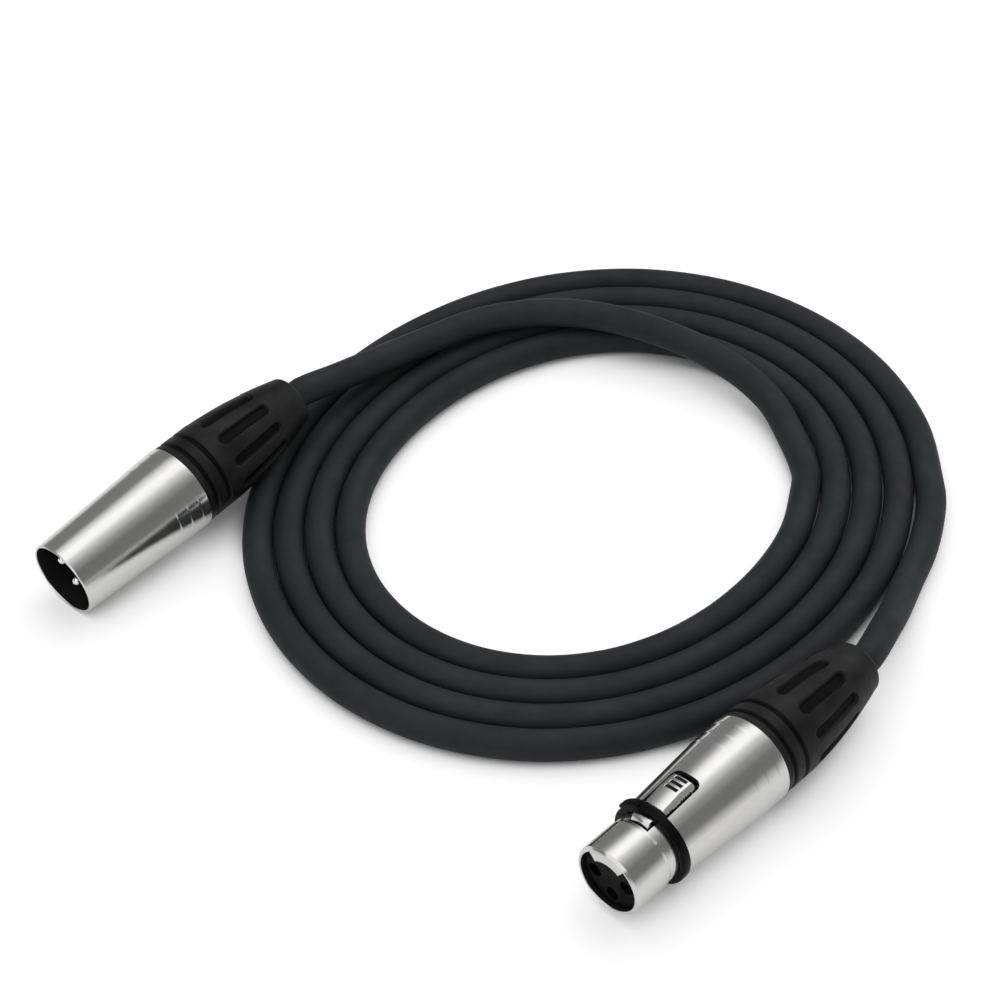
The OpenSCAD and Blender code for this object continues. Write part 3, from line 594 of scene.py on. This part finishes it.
def recess_tree(material):
    tree = bpy.data.node_groups.new("press_recesses", "GeometryNodeTree")
    face = tree.interface
    face.new_socket("Geometry", in_out="INPUT", socket_type="NodeSocketGeometry")
    for name in ("Count", "First Angle", "Middle", "Half Length", "Half Width", "Edge", "Depth"):
        face.new_socket(name, in_out="INPUT", socket_type="NodeSocketFloat")
    face.new_socket("Geometry", in_out="OUTPUT", socket_type="NodeSocketGeometry")
    given = tree.nodes.new("NodeGroupInput").outputs
    xyz = tree.nodes.new("ShaderNodeSeparateXYZ")
    tree.links.new(tree.nodes.new("GeometryNodeInputPosition").outputs[0], xyz.inputs[0])
    x, y, z = xyz.outputs
    radius = hypotenuse(tree, x, y)
    angle = maths(tree, "ARCTAN2", maths(tree, "MULTIPLY", y, -1.0), x)
    spacing = maths(tree, "DIVIDE", 2 * math.pi, given["Count"])
    half = maths(tree, "MULTIPLY", spacing, 0.5)
    from_first = maths(tree, "SUBTRACT", angle, given["First Angle"])
    off = maths(tree, "WRAP", from_first, half, maths(tree, "MULTIPLY", half, -1.0))
    across = maths(tree, "MULTIPLY", off, radius)
    straight = maths(tree, "SUBTRACT", given["Half Length"], given["Half Width"])
    along = maths(tree, "ABSOLUTE", maths(tree, "SUBTRACT", z, given["Middle"]))
    beyond = maths(tree, "MAXIMUM", maths(tree, "SUBTRACT", along, straight), 0.0)
    reach = hypotenuse(tree, across, beyond)
    inside = maths(tree, "SUBTRACT", given["Half Width"], reach)
    ramp = tree.nodes.new("ShaderNodeMapRange")
    ramp.interpolation_type = "SMOOTHSTEP"
    tree.links.new(inside, ramp.inputs["Value"])
    tree.links.new(given["Edge"], ramp.inputs["From Max"])
    outer = tree.nodes.new("GeometryNodeInputNamedAttribute")
    outer.data_type = "FLOAT"
    outer.inputs["Name"].default_value = "outside"
    pressed = maths(tree, "MULTIPLY", ramp.outputs["Result"], outer.outputs["Attribute"])
    turned = tree.nodes.new("GeometryNodeInputNamedAttribute")
    turned.data_type = "FLOAT"
    turned.inputs["Name"].default_value = "groove"
    # How far a point lies in a recess or a groove is stored for the boot's finish, which paints
    # shade there.
    store = tree.nodes.new("GeometryNodeStoreNamedAttribute")
    store.inputs["Name"].default_value = "recess_shade"
    tree.links.new(given["Geometry"], store.inputs["Geometry"])
    recess_shade = maths(tree, "MAXIMUM", pressed, turned.outputs["Attribute"])
    tree.links.new(recess_shade, store.inputs["Value"])
    push = maths(tree, "MULTIPLY", pressed, given["Depth"])
    share = maths(tree, "DIVIDE", maths(tree, "MULTIPLY", push, -1.0), radius)
    offset = tree.nodes.new("ShaderNodeCombineXYZ")
    tree.links.new(maths(tree, "MULTIPLY", x, share), offset.inputs[0])
    tree.links.new(maths(tree, "MULTIPLY", y, share), offset.inputs[1])
    move = tree.nodes.new("GeometryNodeSetPosition")
    tree.links.new(store.outputs[0], move.inputs["Geometry"])
    tree.links.new(offset.outputs[0], move.inputs["Offset"])
    real = tree.nodes.new("GeometryNodeRealizeInstances")
    tree.links.new(move.outputs[0], real.inputs[0])
    coat = tree.nodes.new("GeometryNodeSetMaterial")
    coat.inputs["Material"].default_value = material
    tree.links.new(real.outputs[0], coat.inputs["Geometry"])
    tree.links.new(coat.outputs[0], tree.nodes.new("NodeGroupOutput").inputs[0])
    return tree


def run_nodes(piece, tree, **values):
    """Adds the tree as a modifier, sets its named inputs, and applies it."""
    modifier = piece.modifiers.new(tree.name, "NODES")
    modifier.node_group = tree
    for item in tree.interface.items_tree:
        if item.in_out == "INPUT" and item.name.replace(" ", "_") in values:
            modifier[item.identifier] = values[item.name.replace(" ", "_")]
    apply_modifiers(piece)


press = recess_tree(boot_plastic)

# %% Both boots
def make_boot(name, place, front, node):
    boot = turned_piece(name, boot_outline(), BOOT_SEGMENTS)
    names = ("outside", "groove")
    outside, grooved = (boot.data.attributes.new(n, "FLOAT", "POINT") for n in names)
    for v in boot.data.vertices:
        r = math.hypot(v.co.x, v.co.y) / MM
        s = v.co.z / MM
        skin_r = boot_radius(min(s, BOOT_LEN)) - GROOVE_DEPTH - SEAT_GAP
        outer = r > skin_r and s < RECESS_ZONE[1]
        outside.data[v.index].value = float(outer and s > RECESS_ZONE[0])
        grooved.data[v.index].value = groove(s) if outer else 0.0
    run_nodes(
        boot, press, Count=10.0, First_Angle=math.radians(30), Middle=17.25 * MM,
        Half_Length=7.6 * MM, Half_Width=1.5 * MM, Edge=0.7 * MM, Depth=0.85 * MM,
    )
    paint(boot, boot_plastic)
    show_as(boot, place @ Matrix.Translation((0, 0, front * MM)), "boot_rubber", node)
    print(name, "faces:", len(boot.data.polygons))


make_boot("male_boot_sleeve", male_place, MALE_LEN, "male_boot")
make_boot("female_boot_sleeve", female_place, FEMALE_LEN, "female_boot")

# %% [markdown]
# ## The male shell
# A plain tube with a fine rim, which widens to the rear and has three faint
# steps there. Inside the mouth is a small key. The solid has these shapes
# already, but its facets would show in the plating, so the same outline is
# turned again with many more segments and soft corners.

# %% Male shell
SHELL_BORE_R = 8.3
MOUTH_R = 8.05
MOUTH_DEPTH = 15.0
MOUTH_CHAMFER = 0.15
RIM_ROUND = 0.25
RIM_DEPTH = 0.3
STEPS = 3
STEP_HEIGHT = 0.1
STEP_SPACING = 3.0
STEP_SLOPE = 0.3
LAST_STEP = 2.5
CORNER_ROUND = 0.12
SHELL_SEGMENTS = 192
KEY_PHI = 30
KEY_R = 7.8
KEY_HALF = 0.6
KEY_FRONT, KEY_REAR = 0.3, 6.3
KEY_SOFT = 0.08


def shell_back(front, front_r, length):
    """Outside of a shell from its front edge to its rear, with the steps."""
    loop = [(front_r - RIM_ROUND, front), (front_r, front + RIM_ROUND)]
    for left in reversed(range(STEPS)):
        s = length - LAST_STEP - left * STEP_SPACING
        loop.append((REAR_R - (left + 1) * STEP_HEIGHT, s))
        loop.append((REAR_R - left * STEP_HEIGHT, s + STEP_SLOPE))
    return loop + [(REAR_R, length)]


male_loop = shell_back(0, MALE_FRONT_R, MALE_LEN)
male_loop += [(SHELL_BORE_R, MALE_LEN), (SHELL_BORE_R, MOUTH_DEPTH), (MOUTH_R, MOUTH_DEPTH)]
male_loop += [(MOUTH_R, MOUTH_CHAMFER), (MOUTH_R + MOUTH_CHAMFER, 0)]
male_shell = turned_piece(
    "male_shell_tube", soft_corners(male_loop, CORNER_ROUND), SHELL_SEGMENTS
)


def block(name, low, high, turn, soft=0.0):
    """A box in the connector's own frame, turned to an angle phi."""
    bm = bmesh.new()
    bmesh.ops.create_cube(bm, size=1)
    size = Vector(high) - Vector(low)
    middle = (Vector(high) + Vector(low)) / 2
    bmesh.ops.scale(bm, vec=size * MM, verts=bm.verts)
    if soft:
        bmesh.ops.bevel(
            bm, geom=bm.edges, offset=soft * MM, segments=2, affect="EDGES", profile=0.5
        )
    bmesh.ops.translate(bm, vec=middle * MM, verts=bm.verts)
    about_axis = Matrix.Rotation(-math.radians(turn), 3, "Z")
    bmesh.ops.rotate(bm, cent=(0, 0, 0), matrix=about_axis, verts=bm.verts)
    mesh = bpy.data.meshes.new(name)
    bm.to_mesh(mesh)
    bm.free()
    piece = bpy.data.objects.new(name, mesh)
    scene.collection.objects.link(piece)
    return piece


def combine(piece, tool, operation):
    """Cuts the tool from the piece, or joins it to the piece, as a plain mesh."""
    modifier = piece.modifiers.new("cut", "BOOLEAN")
    modifier.operation = operation
    modifier.solver = "EXACT"
    modifier.object = tool
    apply_modifiers(piece)
    bpy.data.objects.remove(tool)


def in_male_shade(p, n):
    """Faces of the mouth and the bore, but not the rim: these get painted shade."""
    return math.hypot(p.x, p.y) < SHELL_BORE_R + 0.1 and p.z > RIM_DEPTH


key_low = (KEY_R, -KEY_HALF, KEY_FRONT)
key_high = (SHELL_BORE_R, KEY_HALF, KEY_REAR)
combine(male_shell, block("key", key_low, key_high, KEY_PHI, KEY_SOFT), "UNION")
# The mouth and the bore are painted near-black: painted shade.
paint(male_shell, nickel, dull_casting, in_male_shade)
show_as(male_shell, male_place, "shell_nickel", "male_shell")
print("male shell faces:", len(male_shell.data.polygons))

# %% [markdown]
# ## The female shell
# Nose, ring seat and body are one casting. A window lets the latch's hook
# through the nose, a slot with rounded rear corners holds the lever, and a
# lip stands inside the top of the nose. Cutting with a Boolean is the quick
# way to such openings, and the outline stays round everywhere else.

# %% Female shell
NOSE_R = 7.75
NOSE_BORE_R = 6.8
NOSE_FULL = 8.9
NOSE_CHAMFER = 0.6
BORE_CHAMFER = 0.12
NOSE_RELIEF = 0.2
RELIEF_FROM, RELIEF_TO = NOSE_FULL - 0.2, NOSE_FULL + 0.6
FEMALE_FRONT_R = 8.4
SHELL_FRONT = 14.0
SHOULDER = 19.0
LATCH_PHI = 99
SLOT_HALF = 3.45
SLOT_REAR = 24.55
SLOT_CORNER = 1.6
CHANNEL_R = 4.4
WINDOW_HALF = 2.45
WINDOW_FRONT = 9.55
WINDOW_TOP = 9
OUTSIDE_R = 12
LIP_R = 4.7
LIP_LEN = 1.0
LIP_PHI, LIP_SPAN = 58, 74
LIP_ROUND = 0.1
LIP_SEGMENTS = 60
NOSE_BRIGHT = 1.2
INSIDE_R = 7.3
SLOT_WALL_R = 9.2

female_loop = [(NOSE_R - NOSE_CHAMFER, 0), (NOSE_R, NOSE_CHAMFER), (NOSE_R, RELIEF_FROM)]
female_loop += [(NOSE_R - NOSE_RELIEF, RELIEF_TO), (NOSE_R - NOSE_RELIEF, SHELL_FRONT)]
female_loop += shell_back(SHELL_FRONT, FEMALE_FRONT_R, FEMALE_LEN)
female_loop += [(SHELL_BORE_R, FEMALE_LEN), (SHELL_BORE_R, SHOULDER), (NOSE_BORE_R, SHOULDER)]
female_loop += [(NOSE_BORE_R, BORE_CHAMFER), (NOSE_BORE_R + BORE_CHAMFER, 0)]
female_shell = turned_piece(
    "female_shell_body", soft_corners(female_loop, CORNER_ROUND), SHELL_SEGMENTS
)


def slot_cutter():
    """The latch's slot: straight sides, and a rear end with round corners."""
    w, front, rear, corner = SLOT_HALF, SHELL_FRONT - 0.01, SLOT_REAR, SLOT_CORNER
    outline = [(-w, front), (w, front)]
    for centre, start in (((w - corner, rear - corner), 0), ((corner - w, rear - corner), 90)):
        for k in range(9):
            a = math.radians(start + k * 90 / 8)
            outline.append((centre[0] + corner * math.cos(a), centre[1] + corner * math.sin(a)))
    n = len(outline)
    verts = [Vector((r, y, s)) * MM for r in (CHANNEL_R, OUTSIDE_R) for y, s in outline]
    faces = [tuple(range(n)), tuple(reversed(range(n, 2 * n)))]
    faces += [(i, i + n, (i + 1) % n + n, (i + 1) % n) for i in range(n)]
    tool = new_piece("slot_cutter", verts, faces)
    face_outwards(tool)
    tool.data.transform(Matrix.Rotation(-math.radians(LATCH_PHI), 4, "Z"))
    return tool


combine(female_shell, slot_cutter(), "DIFFERENCE")
window_low = (CHANNEL_R, -WINDOW_HALF, WINDOW_FRONT)
window_high = (WINDOW_TOP, WINDOW_HALF, SHELL_FRONT + 0.2)
combine(female_shell, block("window", window_low, window_high, LATCH_PHI), "DIFFERENCE")
print("female shell faces:", len(female_shell.data.polygons))

# %% Lip inside the nose
def sector_piece(name, outline, start, span, segments):
    """A part of a turned loop, from one angle phi over a span, with closed ends."""
    n = len(outline)
    verts = [
        (r * math.cos(a) * MM, r * math.sin(a) * MM, s * MM)
        for a in (-math.radians(start + span * k / segments) for k in range(segments + 1))
        for r, s in outline
    ]
    faces = [
        (k * n + i, k * n + (i + 1) % n, (k + 1) * n + (i + 1) % n, (k + 1) * n + i)
        for k in range(segments)
        for i in range(n)
    ]
    faces += [tuple(range(n)), tuple(segments * n + i for i in reversed(range(n)))]
    piece = new_piece(name, verts, faces)
    face_outwards(piece)
    return piece


lip_root = NOSE_BORE_R + 0.05
lip_corners = [(LIP_R, 0), (lip_root, 0), (lip_root, LIP_LEN), (LIP_R, LIP_LEN)]
lip_outline = soft_corners(lip_corners, LIP_ROUND)
lip = sector_piece("lip", lip_outline, LIP_PHI, LIP_SPAN, LIP_SEGMENTS)
combine(female_shell, lip, "UNION")


def in_female_shade(p, n):
    """Faces of the bore, the window and the slot's walls, but not the nose's front: these get
    painted shade.
    """
    r = math.hypot(p.x, p.y)
    steep = abs(n.x * p.x + n.y * p.y) < 0.5 * r
    in_slot = r < SLOT_WALL_R and steep and p.z > SHELL_FRONT + RIM_DEPTH
    return p.z > NOSE_BRIGHT and (r < INSIDE_R or in_slot)


# The bore, the window and the slot's walls are painted near-black: painted shade.
paint(female_shell, nickel, dull_casting, in_female_shade)
show_as(female_shell, female_place, "shell_nickel", "female_shell")
print("with lip:", len(female_shell.data.polygons))

# %% [markdown]
# ## Small rigid pieces
# The ring, the pins and the contact carriers have the right shape as solids.
# Each is copied, its loose triangles are merged, and a narrow bevel rounds its
# edges, so that they catch the light as moulded and plated edges do.

# %% Dressed copies of solids
def dressed_copy(node, width):
    bm = bmesh.new()
    bm.from_mesh(nodes[node].data)
    bmesh.ops.remove_doubles(bm, verts=bm.verts, dist=2e-6)
    bmesh.ops.dissolve_limit(bm, angle_limit=math.radians(1), verts=bm.verts, edges=bm.edges)
    mesh = bpy.data.meshes.new(node + "_dressed")
    bm.to_mesh(mesh)
    bm.free()
    piece = bpy.data.objects.new(node + "_dressed", mesh)
    scene.collection.objects.link(piece)
    edge = piece.modifiers.new("edge", "BEVEL")
    edge.width = width * MM
    edge.segments = 2
    edge.limit_method = "ANGLE"
    edge.angle_limit = math.radians(40)
    apply_modifiers(piece)
    return piece


for node, width, material, slot in (
    ("female_ring", 0.25, ring_plastic, "ring_plastic"),
    ("male_insert", 0.08, insert_plastic, "insert_plastic"),
    ("female_insert", 0.08, insert_plastic, "insert_plastic"),
    ("male_pin_1", 0.03, contact_metal, "contact_metal"),
    ("male_pin_2", 0.03, contact_metal, "contact_metal"),
    ("male_pin_3", 0.03, contact_metal, "contact_metal"),
):
    piece = dressed_copy(node, width)
    paint(piece, material)
    show_as(piece, None, slot, node)

# %% [markdown]
# ## The latch
# The lever is pressed with a thumb: its top is curved like the shell, its
# sides and its rear end slope away so that it can rock in the slot, and three
# short grooves give grip. The arm and the hook keep the solid's shape. Only
# the lever's top is drawn anew, as a fine grid of heights, because a grid can
# carry slopes and grooves that a bevel can't. The grooves get painted shade.

# %% Latch
LATCH_FRONT = 14.5
LATCH_REAR = 24.0
LATCH_HALF = 2.9
FRONT_TOP = 8.71
REAR_TOP = 9.59
GRIP_SPACING = 1.4
GRIPS = [20.87 + GRIP_SPACING * k for k in (-1, 0, 1)]
GRIP_HALF_WIDTH = 0.36
GRIP_HALF_LENGTH = 1.5
GRIP_DEPTH = 0.38
SIDE_SLOPE, SIDE_EDGE = 0.5, 2.1
REAR_SLOPE, REAR_EDGE = 1.1, 1.2
CAP_FOOT = 7.0
CAP_JOIN = 7.2
CAP_ROWS, CAP_COLS = 96, 58
GRIP_LOW = 8.5
ROOM_HALF = 4


def grip_depth(v, s):
    """Depth of the grip grooves at v across and s along the lever."""
    along = min(abs(s - middle) for middle in GRIPS) / GRIP_HALF_WIDTH
    across = abs(v) / GRIP_HALF_LENGTH
    out = max(along, across)
    return GRIP_DEPTH * (1 - out ** 6) if out < 1 else 0.0


def lever_height(v, s):
    """Height of the lever's top above the connector's axis."""
    share = min(1, (s - LATCH_FRONT) / (LATCH_REAR - LATCH_FRONT) * 2)
    height = math.sqrt((FRONT_TOP + (REAR_TOP - FRONT_TOP) * share) ** 2 - v * v)
    height -= SIDE_SLOPE * max(0, abs(v) - SIDE_EDGE)
    height -= REAR_SLOPE * max(0, s - LATCH_REAR + REAR_EDGE)
    return height - grip_depth(v, s)


def latch_cap():
    rows, cols = CAP_ROWS, CAP_COLS
    grid = [
        (LATCH_HALF * (2 * j / cols - 1), LATCH_FRONT + (LATCH_REAR - LATCH_FRONT) * i / rows)
        for i in range(rows + 1) for j in range(cols + 1)
    ]
    top = [Vector((lever_height(v, s), v, s)) * MM for v, s in grid]
    foot = [Vector((CAP_FOOT, v, s)) * MM for v, s in grid]
    n, w = len(grid), cols + 1
    faces = []
    for i in range(rows):
        for j in range(cols):
            a = i * w + j
            faces += [(a, a + 1, a + 1 + w, a + w), (a + n, a + w + n, a + 1 + w + n, a + 1 + n)]
    rim = [j for j in range(cols)] + [i * w + cols for i in range(rows)]
    rim += [rows * w + j for j in range(cols, 0, -1)] + [i * w for i in range(rows, 0, -1)]
    faces += [(b, a, a + n, b + n) for a, b in zip(rim, rim[1:] + rim[:1])]
    cap = new_piece("latch_cap", top + foot, faces)
    face_outwards(cap)
    cap.data.transform(Matrix.Rotation(-math.radians(LATCH_PHI), 4, "Z"))
    return cap


# Faces inside the grip grooves, which get painted shade.
def in_grip_shade(p, n):
    own = to_latch @ (p * MM) / MM
    return own.x > GRIP_LOW and grip_depth(own.y, own.z) > 0.1


to_latch = Matrix.Rotation(math.radians(LATCH_PHI), 4, "Z") @ female_place.inverted()
latch = dressed_copy("female_latch", 0.05)
room_low = (CAP_JOIN, -ROOM_HALF, LATCH_FRONT - 0.01)
room = block("room", room_low, (OUTSIDE_R, ROOM_HALF, LATCH_REAR + 0.01), LATCH_PHI)
cap = latch_cap()
for tool in (room, cap):
    tool.data.transform(female_place)
combine(latch, room, "DIFFERENCE")
combine(latch, cap, "UNION")
# The grip grooves are painted near-black: painted shade.
paint(latch, nickel, dull_casting, in_grip_shade)
show_as(latch, None, "shell_nickel", "female_latch", body="latch")
print("latch faces:", len(latch.data.polygons))

# %% [markdown]
# ## The latch's spring
# A leaf lies in the channel under the lever, and its free end lifts it. As the
# lever is pressed, the leaf flattens towards its foot. At the limit the lever
# has dropped 0.27 mm over the leaf's end, out of the leaf's 1.5 mm of height,
# so it keeps 0.82 of that height and stays just clear of the lever. Here the
# leaf is a dressed copy of its solid with a mesh of its own; it is not bent.

# %% Latch spring
leaf = dressed_copy("female_latch_spring", 0.03)
paint(leaf, spring_steel)
show_as(leaf, None, "spring_steel", "female_latch_spring")
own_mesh(leaf)
print("leaf faces:", len(leaf.data.polygons))

# %% [markdown]
# ## Inside the connectors
# These pieces are hidden once the connector is screwed together. The rigid
# ones keep their solids and get their finish. The jacket and the cores are
# soft, so they are round tubes again, made by the same helper as the cable.

# %% Finishes for the hidden rigid pieces
hidden_finishes = {
    spring_steel: ("male_ground_clip", "female_ground_clip", "female_latch_pin"),
    contact_metal: ("female_socket_1", "female_socket_2", "female_socket_3"),
    chuck_plastic: ("male_chuck", "female_chuck"),
    nut_plastic: ("male_gland_nut", "female_gland_nut"),
}
for material, names in hidden_finishes.items():
    for name in names:
        nodes[name].data.materials.clear()
        nodes[name].data.materials.append(material)

# %% Jacket and cores inside
JACKET_START = 1.0
INSERT_BACK = 8.05
MALE_FIRST_PHI = 174
CONTACT_R = 3.95
CORE_R = 1.15
CORE_SIDES = 20
CUP_FLOOR, CUP_RIM = 0.5, 3.0


def soft_tube(name, place, points, radius, material, slot, node):
    bend = smooth_line([Vector(p) for p in points], RING_SPACING / 2)
    tube, length = swept_tube(name, [place @ (p * MM) for p in bend], radius * MM, CORE_SIDES)
    paint(tube, material)
    show_as(tube, None, slot, node)
    print(name, "length (mm):", round(length / MM, 1))


def fill_connector(side, place, length, insert_end, first_phi):
    start = length + JACKET_START
    soft_tube(
        side + "_jacket_inside", place, [(0, 0, start), (0, 0, length + BOOT_LEN)],
        CABLE_R, jacket, "cable_jacket", side + "_cable_end",
    )
    wires = (
        ("shield_tail", 0.6, copper, "shield_copper"),
        ("core_hot", 0.75, core_red, "core_red"),
        ("core_cold", 0.75, core_blue, "core_blue"),
    )
    for k, (part, r, material, slot) in enumerate(wires):
        a = -math.radians(first_phi + 90 * k)
        floor, rim = insert_end + CUP_FLOOR, insert_end + CUP_RIM
        stops = [
            (CONTACT_R, floor + SEAT_GAP), (CONTACT_R, rim + r),
            ((CONTACT_R + CORE_R) / 2, (rim + start) / 2),
            (CORE_R, start - r), (CORE_R, start),
        ]
        points = [(q * math.cos(a), q * math.sin(a), s) for q, s in stops]
        name = side + "_" + part
        soft_tube(name + "_wire", place, points, r, material, slot, name)


fill_connector("male", male_place, MALE_LEN, MALE_LEN - INSERT_BACK, MALE_FIRST_PHI)
fill_connector("female", female_place, FEMALE_LEN, FEMALE_LEN - INSERT_BACK, LATCH_PHI + 90)

# %% [markdown]
# ## Table, light and backdrop
# The set is a white table under a large soft light. Plated metal shows
# what is round it, so a product studio surrounds a tube with paper: here a
# tunnel stands over the table, with dark walls close to the object and a
# bright top far above it, which draws the long bands along the shells. Only
# reflections see the tunnel.

# %% Table and reflection tunnel
def stage_piece(name, verts, faces):
    thing = new_piece(name, verts, faces)
    return thing


def stage_finish(name, grey):
    material = bpy.data.materials.new(name)
    material.use_nodes = True
    shader = material.node_tree.nodes["Principled BSDF"]
    shader.inputs["Base Color"].default_value = (grey, grey, grey, 1)
    shader.inputs["Roughness"].default_value = 0.9
    shader.inputs["Specular IOR Level"].default_value = 0.0
    shader.inputs["Emission Color"].default_value = (1, 1, 1, 1)
    return material, material.node_tree, shader


def seen(tree, by_camera, by_mirrors):
    """One level for camera rays, one for glossy and transmission rays, 0 for others."""
    rays = tree.nodes.new("ShaderNodeLightPath").outputs
    mirror = maths(tree, "MAXIMUM", rays["Is Glossy Ray"], rays["Is Transmission Ray"])
    direct = maths(tree, "MULTIPLY", rays["Is Camera Ray"], by_camera)
    return maths(tree, "ADD", direct, maths(tree, "MULTIPLY", mirror, by_mirrors))


TABLE_HALF = 6
SHADE_REACH = 0.012
TABLE_GLOW = 0.42
TABLE_MIRRORED = 0.16
corners = [(x * TABLE_HALF, y * TABLE_HALF, 0) for x, y in ((-1, -1), (1, -1), (1, 1), (-1, 1))]
floor = stage_piece("table", corners, [(0, 1, 2, 3)])
floor_material, tree, shader = stage_finish("table_white", 0.8)
# Ambient occlusion darkens the table's glow where the object crowds it: painted shade in the gaps
# between the strands.
shade = tree.nodes.new("ShaderNodeAmbientOcclusion")
shade.inputs["Distance"].default_value = SHADE_REACH
shade.samples = 8
openness = spread(tree, shade.outputs["AO"], 0, 1, 0.2, 0.55)
direct = seen(tree, TABLE_GLOW, 0.0)
mirrored = seen(tree, 0.0, TABLE_MIRRORED)
glow = maths(tree, "ADD", maths(tree, "MULTIPLY", direct, openness), mirrored)
tree.links.new(glow, shader.inputs["Emission Strength"])
floor.data.materials.append(floor_material)

TUNNEL_SECTION = [
    (0.19, -0.05), (0.19, 0.15), (0.9, 1.0), (-0.9, 1.0), (-0.19, 0.16), (-0.19, -0.05),
]
TUNNEL_STOPS = [
    (0, 0.6), (8, 0.4), (16, 0.16), (46, 0.15), (52, 0.22), (58, 0.25), (64, 0.3), (70, 0.42),
    (81, 0.6), (88, 0.85), (93, 1.02), (107, 1.05), (118, 0.8), (130, 0.38), (138, 0.18),
    (172, 0.18), (180, 0.55),
]
TUNNEL_ENDS = (-0.5, 1.6)
TUNNEL_STRENGTH = 1.25
points = [(x, y, z) for y in TUNNEL_ENDS for x, z in TUNNEL_SECTION]
sides = len(TUNNEL_SECTION)
tunnel_faces = [(k, k + 1, k + 1 + sides, k + sides) for k in range(sides - 1)]
tunnel = stage_piece("reflection_tunnel", points, tunnel_faces)
tunnel_material, tree, shader = stage_finish("tunnel_paper", 0.0)
place_on_paper = tree.nodes.new("ShaderNodeTexCoord")
split = tree.nodes.new("ShaderNodeSeparateXYZ")
tree.links.new(place_on_paper.outputs["Object"], split.inputs[0])
turn = maths(tree, "ARCTAN2", split.outputs["Z"], split.outputs["X"])
ramp = tree.nodes.new("ShaderNodeValToRGB")
tree.links.new(maths(tree, "DIVIDE", turn, math.pi), ramp.inputs[0])
ramp.color_ramp.elements.remove(ramp.color_ramp.elements[1])
for k, (angle, level) in enumerate(TUNNEL_STOPS):
    stop = ramp.color_ramp.elements[0] if k == 0 else ramp.color_ramp.elements.new(angle / 180)
    stop.position = angle / 180
    stop.color = (level, level, level, 1)
tree.links.new(ramp.outputs["Color"], shader.inputs["Emission Color"])
shader.inputs["Emission Strength"].default_value = TUNNEL_STRENGTH
tunnel.data.materials.append(tunnel_material)
for ray in ("camera", "diffuse", "transmission", "shadow", "volume_scatter"):
    setattr(tunnel, "visible_" + ray, False)

# %% Light and backdrop
SKY_FOR_ALL = 0.5
SKY_EXTRA = 0.5
LIGHT_AIM = Vector((0, 0.05, 0))
world = bpy.data.worlds.new("studio")
scene.world = world
world.use_nodes = True
tree = world.node_tree
background = tree.nodes["Background"]
background.inputs["Color"].default_value = (1, 1, 1, 1)
sky = maths(tree, "ADD", seen(tree, SKY_EXTRA, SKY_EXTRA), SKY_FOR_ALL)
tree.links.new(sky, background.inputs["Strength"])


def soft_light(name, place, size, power):
    data = bpy.data.lights.new(name, "AREA")
    data.shape = "DISK"
    data.size = size
    data.energy = power
    lamp = bpy.data.objects.new(name, data)
    lamp.location = place
    lamp.rotation_euler = (LIGHT_AIM - Vector(place)).to_track_quat("-Z", "Y").to_euler()
    lamp.visible_glossy = False
    scene.collection.objects.link(lamp)


soft_light("overhead", place=(-0.25, 0.35, 1.1), size=1.8, power=8.0)
scene.view_settings.view_transform = "Standard"
